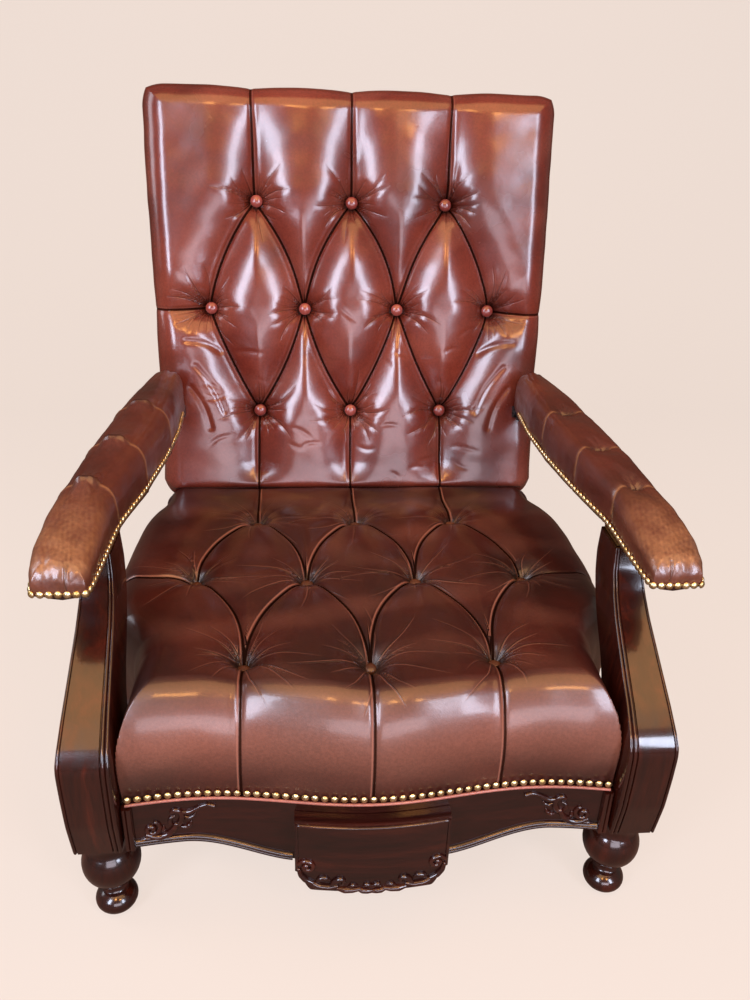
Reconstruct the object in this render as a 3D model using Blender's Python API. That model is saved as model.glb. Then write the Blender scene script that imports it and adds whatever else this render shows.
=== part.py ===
"""Buttoned leather reclining library chair.

Metres, +Z up.  The sitter faces -Y; seen from the front, +X is on the right.
The origin is on the floor, under the middle of the chair's box.  Heights in this file are drawn
from a base line FLOOR below the floor, and one empty sets the whole chair down by that much.
"""
import math

import bmesh
import bpy
from mathutils import Matrix, Vector

GAP = 0.0004                        # clearance between pieces that touch
FLOOR = 0.020                       # height of the floor above the drawing's base line

# Seat front: a serpentine line shared by the leather, the nails, the apron and the footrest front
SEAT_FRONT_Y = -0.455
WAVE = 0.0105
WAVE_LENGTH = 0.44
RAIL_TOP = 0.280                    # top of the show-wood rails, where the seat leather starts
FRONT_HALF = 0.321                  # half width of the seat between the front posts

# Front posts, feet and rails
POST_INNER = 0.326
POST_OUTER = 0.393
POST_BACK_Y = -0.360
POST_BOTTOM = 0.200
POST_TOP = 0.5445
FOOT_X = 0.365
FOOT_Y = -0.398
RAIL_BOTTOM = 0.205
REAR_LEG_Y = 0.190
REAR_LEG_DEEP = 0.045
REAR_LEG_INNER = 0.316
REAR_LEG_OUTER = 0.352
BOARD = 0.022

# Apron and footrest front
APRON_END_Z = 0.202
APRON_DIP = 0.032
APRON_HALF = 0.312
TABLET_HALF = 0.103
TABLET_LOW = 0.173
TABLET_DROP = 0.034                  # how much lower it hangs between its corners
TABLET_HIGH = 0.261
WINDOW_TOP = 0.2575                  # opening behind it, through which the footrest slides
TABLET_PROUD = 0.0225
RUNNER_X = 0.075
RUNNER_BACK_Y = -0.050

# Seat upholstery
SEAT_CROWN = 0.437
SEAT_BUTTON_Z = 0.409               # height of the sunk buttons' rims
SEAT_BUTTON_PITCH = 0.170
SEAT_BUTTON_ROWS = ((0.045, 3), (-0.143, 4), (-0.352, 3))

# Backrest, laid out as distance up the back (s) and distance behind its face (t)
BACK_RAKE = math.radians(13.7)
BACK_FOOT_Y = 0.211
BACK_FOOT_Z = 0.401
BACK_HALF = 0.359
BACK_SPLAY = 0.011                  # how much wider each side is at the top
BACK_LENGTH = 0.722
BACK_CROWN = 0.015
BACK_PAD = 0.0755
BACK_DEEP = 0.1139
BACK_BUTTON_PITCH = 0.172
BACK_BUTTON_T = 0.019
BACK_BUTTON_ROWS = ((0.528, 3), (0.339, 4), (0.150, 3))
HINGE_Y = 0.262
HINGE_Z = 0.365
HINGE_X = 0.3387                    # inner face of the frame's hinge bracket

# Arms
ARM_BOARD_LOW = 0.5565
ARM_BOARD_HIGH = 0.5646
ARM_PLATE = 0.0070                   # how far the slide plate stands below the arm board
ARM_CROWN = 0.640
ARM_PIVOT_Y = 0.228
ARM_PIVOT_Z = 0.5535
ARM_PIVOT_X = 0.3198

NAIL_HALF = 0.0047
NAIL_HIGH = 0.0028
SIDES = ((-1, "left"), (1, "right"))


def clear_scene():
    for old in list(bpy.data.objects):
        bpy.data.objects.remove(old, do_unlink=True)


def material(name, colour, roughness, metallic=0.0):
    mat = bpy.data.materials.new(name)
    mat.use_nodes = True
    shader = mat.node_tree.nodes["Principled BSDF"]
    shader.inputs["Base Color"].default_value = (*colour, 1.0)
    shader.inputs["Roughness"].default_value = roughness
    shader.inputs["Metallic"].default_value = metallic
    mat.diffuse_color = (*colour, 1.0)
    return mat


clear_scene()
MAHOGANY = material("polished_mahogany", (0.060, 0.014, 0.010), 0.18)
BACK_LEATHER = material("oxblood_leather", (0.175, 0.040, 0.022), 0.32)
SEAT_LEATHER = material("worn_oxblood_leather", (0.090, 0.024, 0.014), 0.36)
ARM_LEATHER = material("tan_worn_leather", (0.120, 0.045, 0.026), 0.42)
BRASS = material("brass", (0.62, 0.43, 0.15), 0.28, 1.0)
STEEL = material("blackened_steel", (0.10, 0.10, 0.11), 0.45, 1.0)
SPRING_STEEL = material("spring_steel", (0.35, 0.33, 0.31), 0.40, 1.0)
BEECH = material("beech", (0.42, 0.27, 0.15), 0.60)
JUTE = material("jute_webbing", (0.36, 0.27, 0.16), 0.90)


# ---------------------------------------------------------------- mesh helpers

def add_object(name, bm, mat, parent=None, smooth=False, flip=False):
    """Turn a bmesh, given in world metres or in its parent's axes, into a named object."""
    if flip:
        bmesh.ops.scale(bm, verts=bm.verts, vec=(-1, 1, 1))
    bmesh.ops.recalc_face_normals(bm, faces=bm.faces)
    mesh = bpy.data.meshes.new(name)
    bm.to_mesh(mesh)
    bm.free()
    if smooth:
        mesh.shade_smooth()
        mesh.set_sharp_from_angle(angle=math.radians(35))
    obj = bpy.data.objects.new(name, mesh)
    bpy.context.scene.collection.objects.link(obj)
    if mat:
        mesh.materials.append(mat)
    obj.parent = parent or CHAIR
    return obj


def add_empty(name, location, rotation=(0, 0, 0), parent=None):
    empty = bpy.data.objects.new(name, None)
    empty.empty_display_size = 0.05
    empty.location = location
    empty.rotation_euler = rotation
    bpy.context.scene.collection.objects.link(empty)
    empty.parent = parent
    return empty


CHAIR = add_empty("chair", (0, 0, -FLOOR))


def bm_box(lo, hi, bm=None):
    bm = bm or bmesh.new()
    size = [b - a for a, b in zip(lo, hi)]
    middle = [(a + b) / 2 for a, b in zip(lo, hi)]
    matrix = Matrix.Translation(middle) @ Matrix.Diagonal((*size, 1.0))
    bmesh.ops.create_cube(bm, size=1.0, matrix=matrix)
    return bm


def bm_loft(rings, bm=None):
    """Skin a list of rings, each with the same number of points, and close both ends."""
    bm = bm or bmesh.new()
    loops = [[bm.verts.new(p) for p in ring] for ring in rings]
    count = len(rings[0])
    for low, high in zip(loops, loops[1:]):
        for i in range(count):
            j = (i + 1) % count
            bm.faces.new((low[i], low[j], high[j], high[i]))
    bm.faces.new(loops[0])
    bm.faces.new(loops[-1])
    return bm


def bm_prism(outline, axis, start, end, bm=None):
    """Extrude an outline of two coordinates along the remaining axis."""
    def place(point, level):
        values = list(point)
        values.insert(axis, level)
        return values
    return bm_loft([[place(p, start) for p in outline], [place(p, end) for p in outline]], bm)


def bm_cylinder(centre, direction, radius, length, sides=16, radius2=None, bm=None):
    bm = bm or bmesh.new()
    turn = Vector((0, 0, 1)).rotation_difference(Vector(direction)).to_matrix().to_4x4()
    top = radius if radius2 is None else radius2
    bmesh.ops.create_cone(bm, cap_ends=True, segments=sides, radius1=radius, radius2=top,
                          depth=length, matrix=Matrix.Translation(centre) @ turn)
    return bm


def bm_turned(profile, centre, sides, bm, turn=None):
    """Round solid about +Z (or the turned axis) from rings given as (radius, height)."""
    turn = turn or Matrix.Identity(3)
    rings = [[Vector(centre) + turn @ Vector((r * math.cos(a), r * math.sin(a), h))
              for a in (math.tau * k / sides for k in range(sides))] for r, h in profile]
    return bm_loft(rings, bm)


def bm_tube(path, radius, sides, bm=None):
    """Sweep a small regular section along a path."""
    rings = []
    for i, point in enumerate(path):
        ahead = path[min(i + 1, len(path) - 1)] - path[max(i - 1, 0)]
        side = ahead.cross(Vector((0, 0, 1)))
        side = side.normalized() if side.length > 1e-9 else Vector((1, 0, 0))
        up = side.cross(ahead).normalized()
        rings.append([point + radius * (math.cos(a) * side + math.sin(a) * up)
                      for a in (math.tau * k / sides for k in range(sides))])
    bm = bm_loft(rings, bm)
    # Triangles, so that no side of the wire is a twisted four-sided face
    bmesh.ops.triangulate(bm, faces=bm.faces)
    return bm


def offset_outline(points, distance):
    """Move a counter-clockwise outline inwards."""
    result = []
    count = len(points)
    for i, point in enumerate(points):
        here = Vector(point)
        before = (here - Vector(points[i - 1])).normalized()
        after = (Vector(points[(i + 1) % count]) - here).normalized()
        normal = Vector((-before.y - after.y, before.x + after.x))
        normal.normalize()
        lean = max(0.5, normal.dot(Vector((-after.y, after.x))))
        result.append(tuple(here + normal * (distance / lean)))
    return result


def bowed_board(xs, y_front, y_back, z_low, z_high, bm=None):
    """Board running in X whose four edges each follow their own curve."""
    rings = [[(x, y_front(x), z_low(x)), (x, y_back(x), z_low(x)),
              (x, y_back(x), z_high(x)), (x, y_front(x), z_high(x))] for x in xs]
    return bm_loft(rings, bm)


def spread(start, end, count):
    return [start + (end - start) * i / (count - 1) for i in range(count)]


def mirrored(right):
    """Close an outline whose right half is given from front to back."""
    return [(-x, y) for x, y in right[::-1]] + right


def smoothstep(value):
    value = min(1.0, max(0.0, value))
    return value * value * (3 - 2 * value)


def cut(obj, cutter):
    """Take the cutter out of the object and hide the cutter."""
    cutter.hide_render = True
    cutter.display_type = "WIRE"
    modifier = obj.modifiers.new("cut_" + cutter.name, "BOOLEAN")
    modifier.operation = "DIFFERENCE"
    modifier.object = cutter


def join_solid(obj, extra):
    """Unite another solid with the object and hide that other solid."""
    extra.hide_render = True
    extra.display_type = "WIRE"
    modifier = obj.modifiers.new("union_" + extra.name, "BOOLEAN")
    modifier.operation = "UNION"
    modifier.object = extra


def bm_band(inner, outer, low, high):
    """Thin upright band between two matching lines in plan."""
    rings = []
    for (x0, y0), (x1, y1) in zip(inner, outer):
        rings.append([(x0, y0, low), (x1, y1, low), (x1, y1, high), (x0, y0, high)])
    return bm_loft(rings)


def spring_unit(centres, radius, low, high, turns):
    """One wire that climbs one waisted coil, crosses to the next and winds down it.

    Each coil starts at the side where its own winding already heads for the next one.
    """
    steps = turns * 8
    path = []
    for number, (x, y) in enumerate(centres):
        behind, ahead = centres[max(number - 1, 0)], centres[min(number + 1, len(centres) - 1)]
        phase = 0.0 if (number % 2 == 0) == (ahead[1] >= behind[1]) else math.pi
        coil = []
        for i in range(steps + 1):
            angle = phase + math.tau * turns * i / steps
            waist = 1 - 0.25 * math.sin(math.pi * i / steps)
            coil.append(Vector((x + radius * waist * math.cos(angle), y + radius * waist * math.sin(angle),
                                low + (high - low) * i / steps)))
        path += coil if number % 2 == 0 else coil[::-1]
    return path


def up_and_down(columns, rows):
    """Grid of centres in one unbroken run: up the first column, down the next."""
    return [(x, y) for number, x in enumerate(columns) for y in (rows if number % 2 == 0 else rows[::-1])]


def button_rows(rows, pitch):
    """Centres of a diamond button layout: (across, along)."""
    return [((k - (count - 1) / 2) * pitch, along) for along, count in rows for k in range(count)]


# ---------------------------------------------------------------- front of the seat

def seat_face(x):
    return SEAT_FRONT_Y - WAVE * math.cos(math.tau * x / WAVE_LENGTH)


def apron_low(x):
    return APRON_END_Z - APRON_DIP * smoothstep((0.25 - abs(x)) / (0.25 - TABLET_HALF))


def make_apron():
    xs = spread(-APRON_HALF, APRON_HALF, 27)
    bm = bowed_board(xs, seat_face, lambda x: seat_face(x) + BOARD, apron_low, lambda x: RAIL_TOP)
    apron = add_object("apron", bm, MAHOGANY)
    window = add_object("apron_window", bm_box((-0.090, -0.60, 0.188), (0.090, -0.40, WINDOW_TOP)), None)
    cut(apron, window)

    for side, name in SIDES:
        strip = spread(side * (TABLET_HALF + 0.003), side * APRON_HALF, 12)
        bead = bowed_board(strip, lambda x: seat_face(x) - 0.006, lambda x: seat_face(x) - GAP,
                           apron_low, lambda x: apron_low(x) + 0.011)
        add_object("apron_bead_" + name, bead, MAHOGANY)

    welt = bowed_board(spread(-FRONT_HALF, FRONT_HALF, 27), lambda x: seat_face(x) - 0.0040,
                       lambda x: seat_face(x) - GAP, lambda x: RAIL_TOP - 0.0045, lambda x: RAIL_TOP)
    add_object("seat_welt", welt, SEAT_LEATHER)


def leaf_middle(x):
    """Height of the carved leaf's spine on the apron, rising towards the middle of the chair."""
    u = (abs(x) - 0.200) / 0.098
    return 0.266 - 0.034 * smoothstep(u) - 0.006 * math.sin(math.tau * u)


def leaf_half(x):
    u = (abs(x) - 0.200) / 0.098
    return 0.004 + 0.009 * math.sin(math.pi * min(1.0, u * 0.85)) + 0.003 * smoothstep(u)


def make_apron_carvings():
    for side, name in SIDES:
        xs = spread(side * 0.200, side * 0.298, 12)
        bm = bowed_board(xs, lambda x: seat_face(x) - 0.0060, lambda x: seat_face(x) - GAP,
                         lambda x: leaf_middle(x) - leaf_half(x), lambda x: leaf_middle(x) + leaf_half(x))
        add_object("apron_carving_" + name, bm, MAHOGANY)


# ---------------------------------------------------------------- posts, feet, rails, legs

def post_profile():
    """Side view (y, z): a straight plinth, a crisp knee, then an S curve up to the arm."""
    front = [(-0.462, POST_BOTTOM), (-0.472, 0.260), (-0.474, 0.350), (-0.471, 0.362), (-0.462, 0.373)]
    front += [(-0.429, 0.398), (-0.396, 0.420), (-0.362, 0.443), (-0.328, 0.466), (-0.301, 0.490)]
    front += [(-0.281, 0.515), (-0.268, POST_TOP)]
    rear = [(-0.205, POST_TOP), (-0.213, 0.505), (-0.230, 0.475), (-0.255, 0.447), (-0.290, 0.418)]
    rear += [(-0.325, 0.390), (-0.348, 0.360), (POST_BACK_Y, 0.320), (POST_BACK_Y, POST_BOTTOM)]
    return front + rear


def post_x(z, edge_low, edge_knee, edge_top):
    if z < 0.36:
        return edge_low + (edge_knee - edge_low) * (z - POST_BOTTOM) / (0.36 - POST_BOTTOM)
    return edge_knee + (edge_top - edge_knee) * (z - 0.36) / (POST_TOP - 0.36)


def make_posts(side, name):
    profile = post_profile()
    inner = [(post_x(z, 0.329, POST_INNER, 0.345), y, z) for y, z in profile]
    outer = [(post_x(z, POST_OUTER, POST_OUTER, 0.384), y, z) for y, z in profile]
    add_object("front_post_" + name, bm_loft([inner, outer]), MAHOGANY, flip=side < 0)

    plate = bm_box((0.349, -0.264, POST_TOP + GAP), (0.379, -0.209, POST_TOP + 0.0043))
    add_object("post_slide_plate_" + name, plate, BRASS, flip=side < 0)

    foot = add_object("front_foot_" + name, turned_foot(), MAHOGANY, smooth=True)
    foot.location = (side * FOOT_X, FOOT_Y, 0)

    stile = bm_box((APRON_HALF + GAP, seat_face(0.32) - 0.006, 0.200),
                   (POST_INNER - 0.001, seat_face(0.32) + BOARD, RAIL_TOP - 0.006))
    add_object("front_stile_" + name, stile, MAHOGANY, flip=side < 0)


def turned_foot():
    """Spin the foot's turned outline: two rings, a full bulb, a neck and a flattened ball."""
    top = POST_BOTTOM - GAP
    outline = [(0.0, top), (0.036, top), (0.039, 0.194), (0.036, 0.188), (0.033, 0.183)]
    outline += [(0.036, 0.179), (0.038, 0.174), (0.035, 0.169), (0.033, 0.163)]
    bulb = [(0.041 * math.cos(a), 0.118 + 0.042 * math.sin(a)) for a in
            (math.radians(d) for d in (50, 25, 0, -20, -42, -62))]
    ball = [(0.030 * math.cos(a), 0.042 + 0.020 * math.sin(a)) for a in
            (math.radians(d) for d in (50, 25, 0, -25, -50))]
    base = [(0.018, FLOOR), (0.0, FLOOR)]
    outline += bulb + [(0.0175, 0.072), (0.0170, 0.066)] + ball + base
    bm = bmesh.new()
    line = [bm.verts.new((r, 0, z)) for r, z in outline]
    edges = [bm.edges.new(pair) for pair in zip(line, line[1:])]
    bmesh.ops.spin(bm, geom=line + edges, cent=(0, 0, 0), axis=(0, 0, 1), angle=math.tau, steps=18)
    bmesh.ops.remove_doubles(bm, verts=bm.verts, dist=1e-5)
    return bm


def rail_outer(y):
    """Outer face of the side rail, narrowing towards the back."""
    return 0.372 - (0.372 - REAR_LEG_OUTER) * (y - POST_BACK_Y) / (REAR_LEG_Y - POST_BACK_Y)


def make_side(side, name):
    y_front, y_rear = POST_BACK_Y + GAP, REAR_LEG_Y - GAP
    plan = [(rail_outer(y_front) - 0.027, y_front), (rail_outer(y_front), y_front),
            (rail_outer(y_rear), y_rear), (rail_outer(y_rear) - 0.027, y_rear)]
    add_object("side_rail_" + name, bm_prism(plan, 2, RAIL_BOTTOM, RAIL_TOP), MAHOGANY, flip=side < 0)

    rings = []
    for z, y, deep, inner, outer in ((RAIL_TOP, REAR_LEG_Y, REAR_LEG_DEEP, REAR_LEG_INNER, REAR_LEG_OUTER),
                                     (0.205, REAR_LEG_Y, REAR_LEG_DEEP, REAR_LEG_INNER, REAR_LEG_OUTER),
                                     (0.140, 0.200, 0.041, 0.317, REAR_LEG_OUTER),
                                     (0.080, 0.224, 0.036, 0.319, REAR_LEG_OUTER),
                                     (FLOOR, 0.258, 0.034, 0.320, REAR_LEG_OUTER)):
        rings.append([(inner, y, z), (outer, y, z), (outer, y + deep, z), (inner, y + deep, z)])
    add_object("rear_leg_" + name, bm_loft(rings), MAHOGANY, flip=side < 0)


def make_rear_rail():
    half = REAR_LEG_INNER - GAP
    bm = bm_box((-half, REAR_LEG_Y + 0.008, RAIL_BOTTOM), (half, REAR_LEG_Y + 0.033, RAIL_TOP))
    add_object("rear_rail", bm, MAHOGANY)


# ---------------------------------------------------------------- seat upholstery

def seat_outline():
    """Plan of the seat, counter-clockwise: serpentine front between the posts, swelling sides."""
    right = [(FRONT_HALF, -0.252), (0.380, -0.232), (0.386, -0.130), (0.382, -0.020), (0.372, 0.090)]
    right += [(0.354, 0.207)]
    left = [(-x, y) for x, y in reversed(right)]
    front = [(x, seat_face(x)) for x in spread(-FRONT_HALF, FRONT_HALF, 23)]
    return front + right + left


def seat_fall(y, z):
    """How far the top of the seat drops towards the backrest."""
    return 0.026 * smoothstep((y - 0.02) / 0.17) * smoothstep((z - 0.34) / 0.08)


def make_seat():
    plan = seat_outline()
    levels = ((0.0, RAIL_TOP + GAP), (0.0, 0.335), (0.003, 0.380), (0.012, 0.408), (0.026, 0.426),
              (0.040, SEAT_CROWN))
    rings = [[(x, y, z - seat_fall(y, z)) for x, y in offset_outline(plan, inset)] for inset, z in levels]
    cushion = add_object("seat_cushion", bm_loft(rings), SEAT_LEATHER)
    well = bm_prism(offset_outline(plan, 0.030), 2, 0.20, 0.368)
    cut(cushion, add_object("seat_cushion_well", well, None))
    pits = bmesh.new()
    twines = bmesh.new()
    for x, y in button_rows(SEAT_BUTTON_ROWS, SEAT_BUTTON_PITCH):
        rings = [(0.0040, 0.350), (0.0040, SEAT_BUTTON_Z - 0.0075), (0.0135, SEAT_BUTTON_Z - 0.0070),
                 (0.030, SEAT_BUTTON_Z + 0.058)]
        bm_turned(rings, (x, y, 0), 12, pits)
        rings = [(0.0022, 0.3650), (0.0022, SEAT_BUTTON_Z - 0.0045), (0.0105, SEAT_BUTTON_Z - 0.0040),
                 (0.0105, SEAT_BUTTON_Z), (0.006, SEAT_BUTTON_Z + 0.0040)]
        bm_turned(rings, (x, y, 0), 10, twines)
    cut(cushion, add_object("seat_cushion_pits", pits, None))
    # The buttons are tied through the stuffing to a canvas over the springs
    canvas = add_object("seat_buttons", bm_box((-0.285, -0.410, 0.3648), (0.285, 0.160, 0.3662)), SEAT_LEATHER)
    join_solid(canvas, add_object("seat_button_twines", twines, None))

    outer = mirrored([(0.288, -0.411), (0.288, -0.214), (0.344, -0.196), (0.340, -0.030), (0.316, 0.172)])
    hole = mirrored([(0.252, -0.380), (0.252, -0.190), (0.300, -0.165), (0.286, 0.136)])
    frame = add_object("seat_frame", bm_prism(outer, 2, 0.2836, 0.308), BEECH)
    cut(frame, add_object("seat_frame_hole", bm_prism(hole, 2, 0.26, 0.33), None))

    along = bmesh.new()
    for x in spread(-0.22, 0.22, 5):
        bm_box((x - 0.025, -0.407, RAIL_TOP + GAP), (x + 0.025, 0.170, RAIL_TOP + 0.0022), along)
    across = bmesh.new()
    for y in spread(-0.36, 0.12, 5):
        bm_box((-0.285, y - 0.025, RAIL_TOP + 0.0010), (0.285, y + 0.025, RAIL_TOP + 0.0032), across)
    webbing = add_object("seat_webbing", along, JUTE)
    join_solid(webbing, add_object("seat_webbing_across", across, None))

    centres = up_and_down((-0.17, 0.0, 0.17), (-0.31, -0.12, 0.07))
    wire = spring_unit(centres, 0.040, 0.2870, 0.3610, 3)
    add_object("seat_springs", bm_tube(wire, 0.0022, 4), SPRING_STEEL)


def make_seat_nails():
    """Close-nailed rows, each as one band: along the front and along both sides."""
    plan = seat_outline()
    inner = offset_outline(plan, -GAP)
    outer = offset_outline(plan, -GAP - NAIL_HIGH)
    low, high = RAIL_TOP + 0.0025, RAIL_TOP + 0.0025 + 2 * NAIL_HALF
    front = slice(1, 22)
    side = slice(24, 28)
    add_object("seat_nails_front", bm_band(inner[front], outer[front], low, high), BRASS)
    for direction, name in SIDES:
        band = bm_band(inner[side], outer[side], low, high)
        add_object("seat_nails_" + name, band, BRASS, flip=direction < 0)


# ---------------------------------------------------------------- backrest

def back_slab(x0, x1, s0, s1, t0, t1, bm=None):
    """Box in the backrest's own axes, measured from its hinge axis."""
    dt, ds = hinge_in_back()
    return bm_box((x0, t0 - dt, s0 - ds), (x1, t1 - dt, s1 - ds), bm)


def hinge_in_back():
    """Hinge axis as (t, s): behind the face, up from the back's foot."""
    dy, dz = HINGE_Y - BACK_FOOT_Y, HINGE_Z - BACK_FOOT_Z
    sin, cos = math.sin(BACK_RAKE), math.cos(BACK_RAKE)
    return dy * cos - dz * sin, dy * sin + dz * cos


def arm_pivot_in_back():
    dy, dz = ARM_PIVOT_Y - BACK_FOOT_Y, ARM_PIVOT_Z - BACK_FOOT_Z
    sin, cos = math.sin(BACK_RAKE), math.cos(BACK_RAKE)
    return dy * cos - dz * sin, dy * sin + dz * cos


def back_outline(inset):
    """Outline of the back (x, s), counter-clockwise: wider towards the top, with round top corners."""
    low, high = inset * 0.6, BACK_LENGTH - inset
    radius = 0.040
    foot = BACK_HALF - inset
    head = foot + BACK_SPLAY
    corner = [(head - radius + radius * math.cos(a), high - radius + radius * math.sin(a))
              for a in (math.radians(d) for d in (0, 30, 60, 90))]
    right = [(foot, low)] + corner
    return right + [(0, high + 0.004)] + [(-x, s) for x, s in right[::-1]]


def make_back(axis):
    dt, ds = hinge_in_back()
    levels = ((0.0, BACK_DEEP), (0.0, 0.020), (0.007, 0.002), (0.022, -0.010), (0.055, -BACK_CROWN))
    rings = [[(x, t - dt, s - ds) for x, s in back_outline(inset)] for inset, t in levels]
    cushion = add_object("back_cushion", bm_loft(rings), BACK_LEATHER, axis)
    cut(cushion, add_object("back_cushion_well",
                            back_slab(-0.339, 0.339, -0.03, 0.695, BACK_PAD, 0.16), None, axis))
    pits = bmesh.new()
    twines = bmesh.new()
    face = BACK_BUTTON_T
    turn = Matrix.Rotation(math.radians(90), 3, "X")
    for x, s in button_rows(BACK_BUTTON_ROWS, BACK_BUTTON_PITCH):
        place = Vector((x, -dt, s - ds))
        rings = [(0.0040, -0.090), (0.0040, -face - 0.0085), (0.0135, -face - 0.008), (0.032, 0.045)]
        bm_turned(rings, place, 12, pits, turn)
        rings = [(0.0022, -0.0768), (0.0022, -face - 0.0055), (0.0105, -face - 0.005), (0.0105, -face - 0.001),
                 (0.006, -face + 0.003)]
        bm_turned(rings, place, 10, twines, turn)
    cut(cushion, add_object("back_cushion_pits", pits, None, axis))
    pt, ps = arm_pivot_in_back()
    slots = bmesh.new()
    for side in (-1, 1):
        x0, x1 = sorted((side * 0.3055, side * 0.3340))
        back_slab(x0, x1, ps - 0.018, ps + 0.018, -0.05, 0.09, slots)
    cut(cushion, add_object("back_cushion_slots", slots, None, axis))
    # The buttons are tied through the stuffing to a canvas stretched between the stiles
    canvas = back_slab(-0.2908, 0.2908, 0.060, 0.636, BACK_PAD + GAP, BACK_PAD + 0.0018)
    canvas = add_object("back_buttons", canvas, BACK_LEATHER, axis)
    join_solid(canvas, add_object("back_button_twines", twines, None, axis))

    panel = [(x, s) for x, s in back_outline(0.008)]
    rings = [[(x, t - dt, s - ds) for x, s in panel] for t in (BACK_DEEP + GAP, BACK_DEEP + 0.0045)]
    add_object("outside_back", bm_loft(rings), BACK_LEATHER, axis)

    add_object("back_top_rail", back_slab(-0.2916, 0.2916, 0.642, 0.690, 0.0760, 0.1080), BEECH, axis)
    add_object("back_bottom_rail", back_slab(-0.2916, 0.2916, 0.004, 0.054, 0.0760, 0.1080), BEECH, axis)
    along = bmesh.new()
    for x in spread(-0.22, 0.22, 4):
        back_slab(x - 0.025, x + 0.025, 0.008, 0.686, 0.1083, 0.1095, along)
    across = bmesh.new()
    for s in spread(0.11, 0.58, 4):
        back_slab(-0.325, 0.325, s - 0.025, s + 0.025, 0.1089, 0.1102, across)
    webbing = add_object("back_webbing", along, JUTE, axis)
    join_solid(webbing, add_object("back_webbing_across", across, None, axis))

    wire = spring_unit(up_and_down((-0.15, 0.15), (0.16, 0.33, 0.50)), 0.034, -0.1058, -0.0810, 2)
    coils = bm_tube(wire, 0.0020, 4)
    upright = Matrix.Translation((0, -dt, -ds)) @ turn.to_4x4()
    bmesh.ops.transform(coils, matrix=upright, verts=coils.verts)
    add_object("back_springs", coils, SPRING_STEEL, axis)


def rounded_end(centre, radius, start, sweep, steps=6):
    return [(centre[0] + radius * math.cos(a), centre[1] + radius * math.sin(a)) for a in
            (math.radians(start + sweep * i / steps) for i in range(steps + 1))]


def make_back_side(side, name, axis):
    dt, ds = hinge_in_back()
    stile = back_slab(0.292, 0.332, 0.004, 0.690, 0.0760, 0.1080)
    add_object("back_stile_" + name, stile, BEECH, axis, flip=side < 0)

    outline = [(0.080 - dt, 0.125 - ds), (0.080 - dt, -0.002 - ds), (0.066 - dt, -0.012 - ds)]
    outline += rounded_end((0, 0), 0.011, 100, 180)
    outline += [(0.106 - dt, 0.002 - ds), (0.106 - dt, 0.125 - ds)]
    plate = bm_prism(outline, 0, 0.3324, 0.3383)
    hole = bm_cylinder((0.335, 0, 0), (1, 0, 0), 0.0048, 0.03, 12)
    plate_obj = add_object("back_hinge_plate_" + name, plate, STEEL, axis, flip=side < 0)
    cut(plate_obj, add_object("hinge_plate_hole_" + name, hole, None, axis, flip=side < 0))

    # Two cheeks fixed to the stile, with the arm's pivot pin across them
    pt, ps = arm_pivot_in_back()
    nose = rounded_end((pt - dt, ps - ds), 0.0105, 90, 180)
    cheek = nose + [(0.0752 - dt, ps - ds - 0.0105), (0.0752 - dt, ps - ds + 0.0105)]
    bracket = add_object("arm_bracket_" + name, bm_prism(cheek, 0, 0.3090, 0.3135), STEEL, axis, flip=side < 0)
    second = add_object("arm_bracket_cheek_" + name, bm_prism(cheek, 0, 0.3261, 0.3306), None, axis,
                        flip=side < 0)
    pin = bm_cylinder((ARM_PIVOT_X, pt - dt, ps - ds), (1, 0, 0), 0.0040, 0.0240, 12)
    join_solid(bracket, second)
    join_solid(bracket, add_object("arm_pin_" + name, pin, None, axis, flip=side < 0))


def make_hinge_brackets(side, name):
    top = rounded_end((HINGE_Y, HINGE_Z), 0.011, 0, 180)
    outline = [(REAR_LEG_Y + REAR_LEG_DEEP + GAP, 0.212), (0.285, 0.212), (0.285, 0.330)] + top
    outline += [(REAR_LEG_Y + REAR_LEG_DEEP + GAP, 0.330)]
    web = bm_prism(outline, 0, HINGE_X, HINGE_X + 0.006)
    bracket = add_object("back_hinge_bracket_" + name, web, STEEL, flip=side < 0)
    flange = bm_box((0.318, REAR_LEG_Y + REAR_LEG_DEEP + GAP, 0.212),
                    (HINGE_X + 0.003, REAR_LEG_Y + REAR_LEG_DEEP + 0.005, 0.272))
    join_solid(bracket, add_object("hinge_flange_" + name, flange, None, flip=side < 0))
    pin = bm_cylinder((0.3360, HINGE_Y, HINGE_Z), (1, 0, 0), 0.0044, 0.0085, 12)
    join_solid(bracket, add_object("hinge_pin_" + name, pin, None, flip=side < 0))


# ---------------------------------------------------------------- arms

def arm_outline():
    """Plan of the right arm, counter-clockwise from the front inner corner."""
    front = [(0.352, -0.404), (0.374, -0.410), (0.398, -0.405), (0.411, -0.388)]
    outer = [(0.419, -0.345), (0.418, -0.285), (0.408, -0.190), (0.399, -0.075), (0.384, 0.075)]
    rear = [(0.367, 0.205), (0.358, 0.230), (0.336, 0.238), (0.314, 0.230), (0.306, 0.205)]
    inner = [(0.301, 0.080), (0.306, -0.020), (0.320, -0.140), (0.338, -0.240), (0.342, -0.350),
             (0.343, -0.390)]
    return front + outer + rear + inner


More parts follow.
